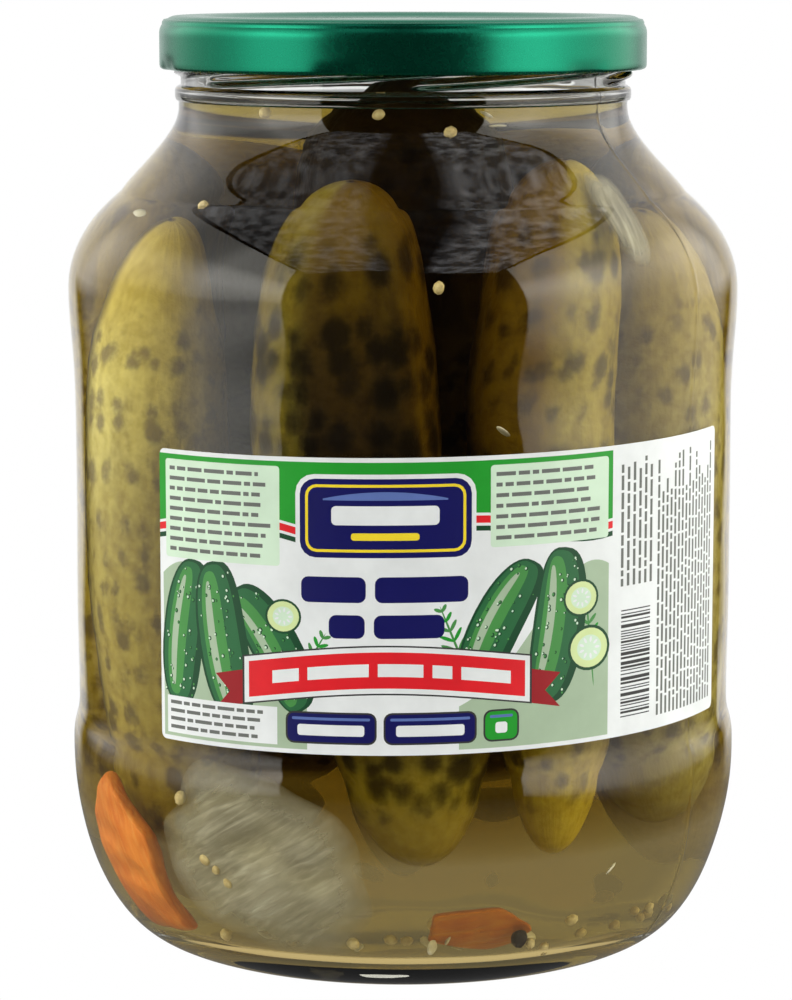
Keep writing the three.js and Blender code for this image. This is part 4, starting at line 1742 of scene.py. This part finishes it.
@dataclass(frozen=True)
class Scatter:
    """One kind of small spice, placed at listed spots and scattered low in the jar.

    Attributes:
        name: Name of the piece.
        finish: Finish of the husk.
        places: Angle from the front in degrees, height and depth behind the wall.
        loose: Number of further ones by a seeded draw.
        radius: Least and largest radius.
        flat: Height of one as a share of its width.
        long: Length of one as a share of its width.
        seed: Start of the random draw.
    """

    name: str
    finish: SpiceFinish
    places: tuple[Station, ...]
    loose: int
    radius: Pair
    flat: float
    long: float
    seed: int
    rows: int = 8
    columns: int = 12
    roughness: float = 0.07
    highest: float = 158.0

    def one(self, middle: Array, draw: np.random.Generator) -> Skin:
        """Makes one husk, turned by a random draw."""
        size = draw.uniform(*self.radius)
        up = np.linspace(0.0, math.pi, self.rows + 2)[1:-1]
        turn = np.linspace(0.0, 2.0 * math.pi, self.columns, endpoint=False)
        rough = 1.0 + self.roughness * draw.normal(size=(self.rows, self.columns))
        across = np.sin(up)[:, None] * rough
        points = np.stack([
            self.long * across * np.cos(turn), across * np.sin(turn),
            np.broadcast_to(-self.flat * np.cos(up)[:, None], rough.shape)], axis=-1)
        skin = Skin.from_rings(points, np.array([0.0, 0.0, -self.flat]), np.array([0.0, 0.0, self.flat]))
        spin, _ = np.linalg.qr(draw.normal(size=(3, 3)))
        spin = spin * np.sign(np.linalg.det(spin))
        skin.vertices = size * skin.vertices @ spin.T + middle
        return skin

    def build(self, glass: JarGlass) -> Piece:
        """Makes the kind as one piece."""
        draw = np.random.default_rng(self.seed)
        spots = list(self.places)
        for _ in range(self.loose):
            angle, height = draw.uniform(-180.0, 180.0), 8.0 + draw.exponential(3.0)
            spots.append((angle, height, draw.uniform(1.5, 12.0)))
        skins = []
        for angle, height, depth in spots:
            height = min(height, self.highest)
            distance = float(glass.wall_at(np.array(height))) - depth
            skins.append(self.one(place(math.radians(angle), distance, height), draw))
        return settle(Skin.merged(skins).piece(self.name, [self.finish.material()], 70.0), Slot.SPICE)


@dataclass(frozen=True)
class Spices:
    """Mustard seeds, peppercorns and scraps in the brine."""

    glass: JarGlass
    kinds: tuple[Scatter, ...] = (
        Scatter(
            "mustard_seeds", SpiceFinish("mustard_husk", (0.62, 0.50, 0.24), (0.36, 0.24, 0.08)),
            ((-41.7, 34.7, 1.3), (-36.9, 24.1, 1.2), (-34.8, 22.5, 1.2), (-32.8, 20.2, 1.2),
             (26.3, 9.4, 1.6), (31.0, 7.9, 1.6), (-6.5, 158.4, 1.2), (12.0, 154.5, 1.2),
             (-43.9, 140.8, 1.2), (5.8, 128.6, 1.2), (-39.0, 158.4, 1.3)),
            34, (0.85, 1.25), 0.9, 1.08, 31),
        Scatter(
            "peppercorns", SpiceFinish("pepper_husk", (0.016, 0.012, 0.010), (0.05, 0.035, 0.022)),
            ((23.4, 10.6, 2.0), (-118.0, 9.6, 4.0), (150.0, 9.2, 5.0)), 0, (1.5, 1.9), 0.95, 1.0, 32),
        Scatter(
            "pale_scraps", SpiceFinish("scrap_flesh", (0.66, 0.60, 0.42), (0.45, 0.38, 0.22)),
            ((39.3, 22.1, 1.0), (22.0, 158.2, 1.0), (25.1, 155.6, 1.0), (-61.0, 138.3, 0.9),
             (17.0, 103.5, 0.9)),
            26, (0.7, 1.4), 0.28, 1.7, 33),
    )

    def build(self) -> None:
        """Makes each kind."""
        for kind in self.kinds:
            kind.build(self.glass)


Stops = tuple[Pair, ...]


@dataclass(frozen=True)
class Softbox:
    """One flat soft lamp whose face isn't evenly bright.

    Attributes:
        name: Name of the lamp.
        middle: Place of its middle in metres.
        aim: Place that it faces.
        size: Width and height in metres.
        radiance: Brightness of its brightest spot.
        across: Shares of the width and the brightness there.
        up: Shares of the height and the brightness there.
        mirrored: True if reflections show it.
        tint: Colour of its light.
        patchy: Share by which its brightness changes from patch to patch.
    """

    name: str
    middle: Place
    aim: Place
    size: Pair
    radiance: float
    across: Stops = ((0.0, 1.0), (1.0, 1.0))
    up: Stops = ((0.0, 1.0), (1.0, 1.0))
    mirrored: bool = True
    tint: Colour = (1.0, 1.0, 1.0)
    patchy: float = 0.0
    patch_scale: float = 16.0
    patch_detail: float = 5.0
    patch_span: Pair = (0.42, 0.68)

    @staticmethod
    def ramp(sheet: NodeSheet, share: Socket, stops: Stops) -> Socket:
        """Brightness that runs through the stops.

        Args:
            sheet: Sheet of the lamp.
            share: Share of the width or height.
            stops: Shares and the brightness at each.

        Returns:
            The brightness.
        """
        node = sheet.add("ShaderNodeValToRGB", {0: share})
        elements = node.color_ramp.elements
        while len(elements) < len(stops):
            elements.new(1.0)
        for element, (where, bright) in zip(elements, stops):
            element.position = where
            element.color = (bright, bright, bright, 1.0)
        return node.outputs[0]

    def build(self) -> None:
        """Makes the lamp, which neither the camera nor a view through the glass shows."""
        lamp = bpy.data.lights.new(self.name, "AREA")
        lamp.shape = "RECTANGLE"
        lamp.size, lamp.size_y = self.size
        lamp.energy = self.radiance * math.pi * self.size[0] * self.size[1]
        lamp.color = self.tint
        lamp.use_nodes = True
        lamp.node_tree.nodes.clear()
        sheet = NodeSheet(lamp.node_tree)
        spot = sheet.add("ShaderNodeNewGeometry").outputs["Parametric"]
        parts = sheet.add("ShaderNodeSeparateXYZ", {0: spot}).outputs
        ramps = (self.ramp(sheet, parts[0], self.across), self.ramp(sheet, parts[1], self.up))
        bright = sheet.math("MULTIPLY", *ramps)
        if self.patchy > 0.0:
            sizes = {"Vector": spot, "Scale": self.patch_scale, "Detail": self.patch_detail}
            noise = sheet.add("ShaderNodeTexNoise", sizes).outputs[0]
            level = sheet.span(noise, *self.patch_span, 1.0 - self.patchy, 1.0 + self.patchy)
            bright = sheet.math("MULTIPLY", bright, level)
        glow = sheet.add("ShaderNodeEmission", {"Strength": bright})
        sheet.add("ShaderNodeOutputLight", {"Surface": glow.outputs[0]})
        made = bpy.data.objects.new(self.name, lamp)
        made.location = self.middle
        facing = Vector(self.aim) - made.location
        made.rotation_euler = facing.to_track_quat("-Z", "Y").to_euler()
        made.visible_camera = False
        made.visible_transmission = False
        made.visible_glossy = self.mirrored
        bpy.context.scene.collection.objects.link(made)


@dataclass(frozen=True)
class Studio:
    """Floor, lamps, surroundings and camera."""

    softboxes: tuple[Softbox, ...] = (
        Softbox(
            "wall_left", (-0.60, 0.02, 0.375), (0.0, 0.02, 0.375), (1.47, 0.99), 6.5,
            ((0.0, 0.0), (0.18, 0.23), (0.37, 0.30), (0.51, 0.36), (0.58, 0.45), (0.66, 0.8),
             (0.985, 0.75), (1.0, 0.0)),
            ((0.0, 0.0), (0.04, 0.2), (0.10, 0.36), (0.15, 0.40), (0.24, 0.32), (0.29, 0.33),
             (0.33, 0.52), (0.5, 0.82), (0.6, 0.72), (0.7, 0.42), (1.0, 0.36)),
            tint=(1.0, 0.98, 0.90)),
        Softbox(
            "wall_right", (0.60, 0.02, 0.375), (0.0, 0.02, 0.375), (1.47, 0.99), 6.5,
            ((0.0, 0.0), (0.015, 0.7), (0.30, 0.9), (0.42, 0.6), (0.50, 0.55), (0.65, 0.47),
             (0.82, 0.33), (1.0, 0.0)),
            ((0.0, 0.0), (0.04, 0.2), (0.10, 0.36), (0.15, 0.40), (0.31, 0.50), (0.5, 0.82),
             (0.6, 0.72), (0.7, 0.42), (1.0, 0.36)),
            tint=(1.0, 0.98, 0.90)),
        Softbox(
            "ceiling", (0.0, -0.15, 0.90), (0.0, -0.15, 0.0), (1.19, 1.40), 1.1,
            ((0.0, 0.5), (0.37, 0.6), (0.43, 0.03), (0.60, 0.03), (0.66, 1.0), (1.0, 0.9)), patchy=0.7),
        Softbox("fill_left", (-0.75, -0.35, 0.60), (0.0, 0.0, 0.10), (0.70, 0.70), 2.8, mirrored=False),
        Softbox("fill_right", (0.75, -0.35, 0.50), (0.0, 0.0, 0.08), (0.70, 0.70), 1.5, mirrored=False),
        Softbox("fill_low", (0.0, -0.75, 0.10), (0.0, 0.0, 0.03), (0.60, 0.25), 1.3, mirrored=False),
    )
    front_dim: float = 0.015
    back_seen: float = 0.95
    back_mirrored: float = 0.95
    top_mirrored: float = 1.0
    high_share: float = 0.35
    room_depth: Pair = (-0.1, 0.7)
    room_low: Pair = (-0.12, -0.02)
    room_high: Pair = (0.02, 0.10)
    mirror_depth: Pair = (0.84, 0.89)
    mirror_height: Pair = (-0.09, 0.01)
    mirror_top: Pair = (0.25, 0.7)
    bounces: int = 10
    layers: int = 20
    floor_radius: float = 0.6
    floor_middle: float = 0.02
    floor_drop: float = 0.02
    floor_rings: int = 24
    floor_sides: int = 96
    focal_pixels: float = 3587.0
    frame_pixels: tuple[int, int] = (792, 1000)
    sensor: float = 36.0
    camera_distance: float = 0.6825
    camera_height: float = 0.1866
    camera_side: float = -0.00133
    camera_pitch: float = 8.67

    def surroundings(self) -> None:
        """White behind the jar for the camera, and a dim room in front for reflections and soft light."""
        world = bpy.data.worlds.new("studio_room")
        bpy.context.scene.world = world
        world.use_nodes = True
        world.node_tree.nodes.clear()
        sheet = NodeSheet(world.node_tree)
        way = sheet.add("ShaderNodeTexCoord").outputs["Generated"]
        parts = sheet.add("ShaderNodeSeparateXYZ", {0: way}).outputs
        room = sheet.span(parts["Y"], *self.room_depth, self.front_dim, self.back_seen)
        level = sheet.span(parts["Z"], *self.room_low, 1.0, self.high_share)
        level = sheet.math("MAXIMUM", level, sheet.span(parts["Z"], *self.room_high, 0.0, 1.0))
        room = sheet.math("MULTIPLY", room, level)
        far = sheet.span(parts["Y"], *self.mirror_depth, self.front_dim, self.back_mirrored)
        high = sheet.span(parts["Z"], *self.mirror_height, 0.0, self.top_mirrored)
        high = sheet.math("MULTIPLY", high, sheet.span(parts["Y"], *self.mirror_top, 0.0, 1.0))
        path = sheet.add("ShaderNodeLightPath")
        outer = sheet.math("LESS_THAN", path.outputs["Transmission Depth"], 0.5)
        outer = sheet.math("MULTIPLY", path.outputs["Is Glossy Ray"], outer)
        seen = sheet.mix(outer, room, sheet.math("MAXIMUM", far, high))
        seen = sheet.math("MAXIMUM", path.outputs["Is Camera Ray"], seen)
        light = sheet.add("ShaderNodeBackground", {"Color": (1.0, 1.0, 1.0), "Strength": seen})
        sheet.add("ShaderNodeOutputWorld", {"Surface": light.outputs[0]})

    def floor(self) -> Piece:
        """Makes the floor."""
        count, sides = self.floor_rings, self.floor_sides
        rings = np.linspace(self.floor_middle, self.floor_radius, count)[:, None] / MM
        angle = np.linspace(-math.pi, math.pi, sides, endpoint=False)[None, :]
        skin = Skin.from_rings(place(angle, rings, -self.floor_drop)[::-1], None, None)
        skin.faces = [face for face in skin.faces if max(face) - min(face) < 2 * sides]
        skin.faces.append(tuple((count - 1) * sides + np.arange(sides)))
        skin.paints = []
        made = skin.piece("floor", [FloorFinish().material()])
        made.visible_camera = False
        return made

    def camera(self) -> None:
        """Makes the camera at the picture's viewing angle."""
        lens = bpy.data.cameras.new("camera")
        lens.sensor_width = self.sensor
        lens.lens = self.focal_pixels * self.sensor / max(self.frame_pixels)
        made = bpy.data.objects.new("camera", lens)
        made.location = (self.camera_side, -self.camera_distance, self.camera_height)
        made.rotation_euler = (math.radians(90.0 - self.camera_pitch), 0.0, 0.0)
        bpy.context.scene.collection.objects.link(made)
        bpy.context.scene.camera = made

    def light_paths(self) -> None:
        """Lets light through enough layers of glass and brine, and shows colours as they are."""
        scene = bpy.context.scene
        scene.view_settings.view_transform = "Standard"
        scene.cycles.max_bounces = self.bounces
        scene.cycles.transmission_bounces = self.bounces
        scene.cycles.transparent_max_bounces = self.layers
        scene.cycles.caustics_reflective = False
        scene.cycles.caustics_refractive = False

    def build(self) -> None:
        """Makes the whole studio."""
        self.surroundings()
        self.floor()
        for softbox in self.softboxes:
            softbox.build()
        self.camera()
        self.light_paths()
        LOG.info("studio: %d lamps", len(self.softboxes))


def main() -> None:
    """Builds every piece, then the studio."""
    logging.basicConfig(level=logging.INFO, format="%(name)s: %(message)s")
    Studio().build()
    glass = JarGlass()
    brine = Brine(glass)
    glass.build(brine.level + brine.climb)
    brine.build()
    Lid().build()
    Label(glass).build()
    GherkinHeap(glass).build()
    Vegetables(glass).build()
    Spices(glass).build()


if __name__ == "__main__":
    main()
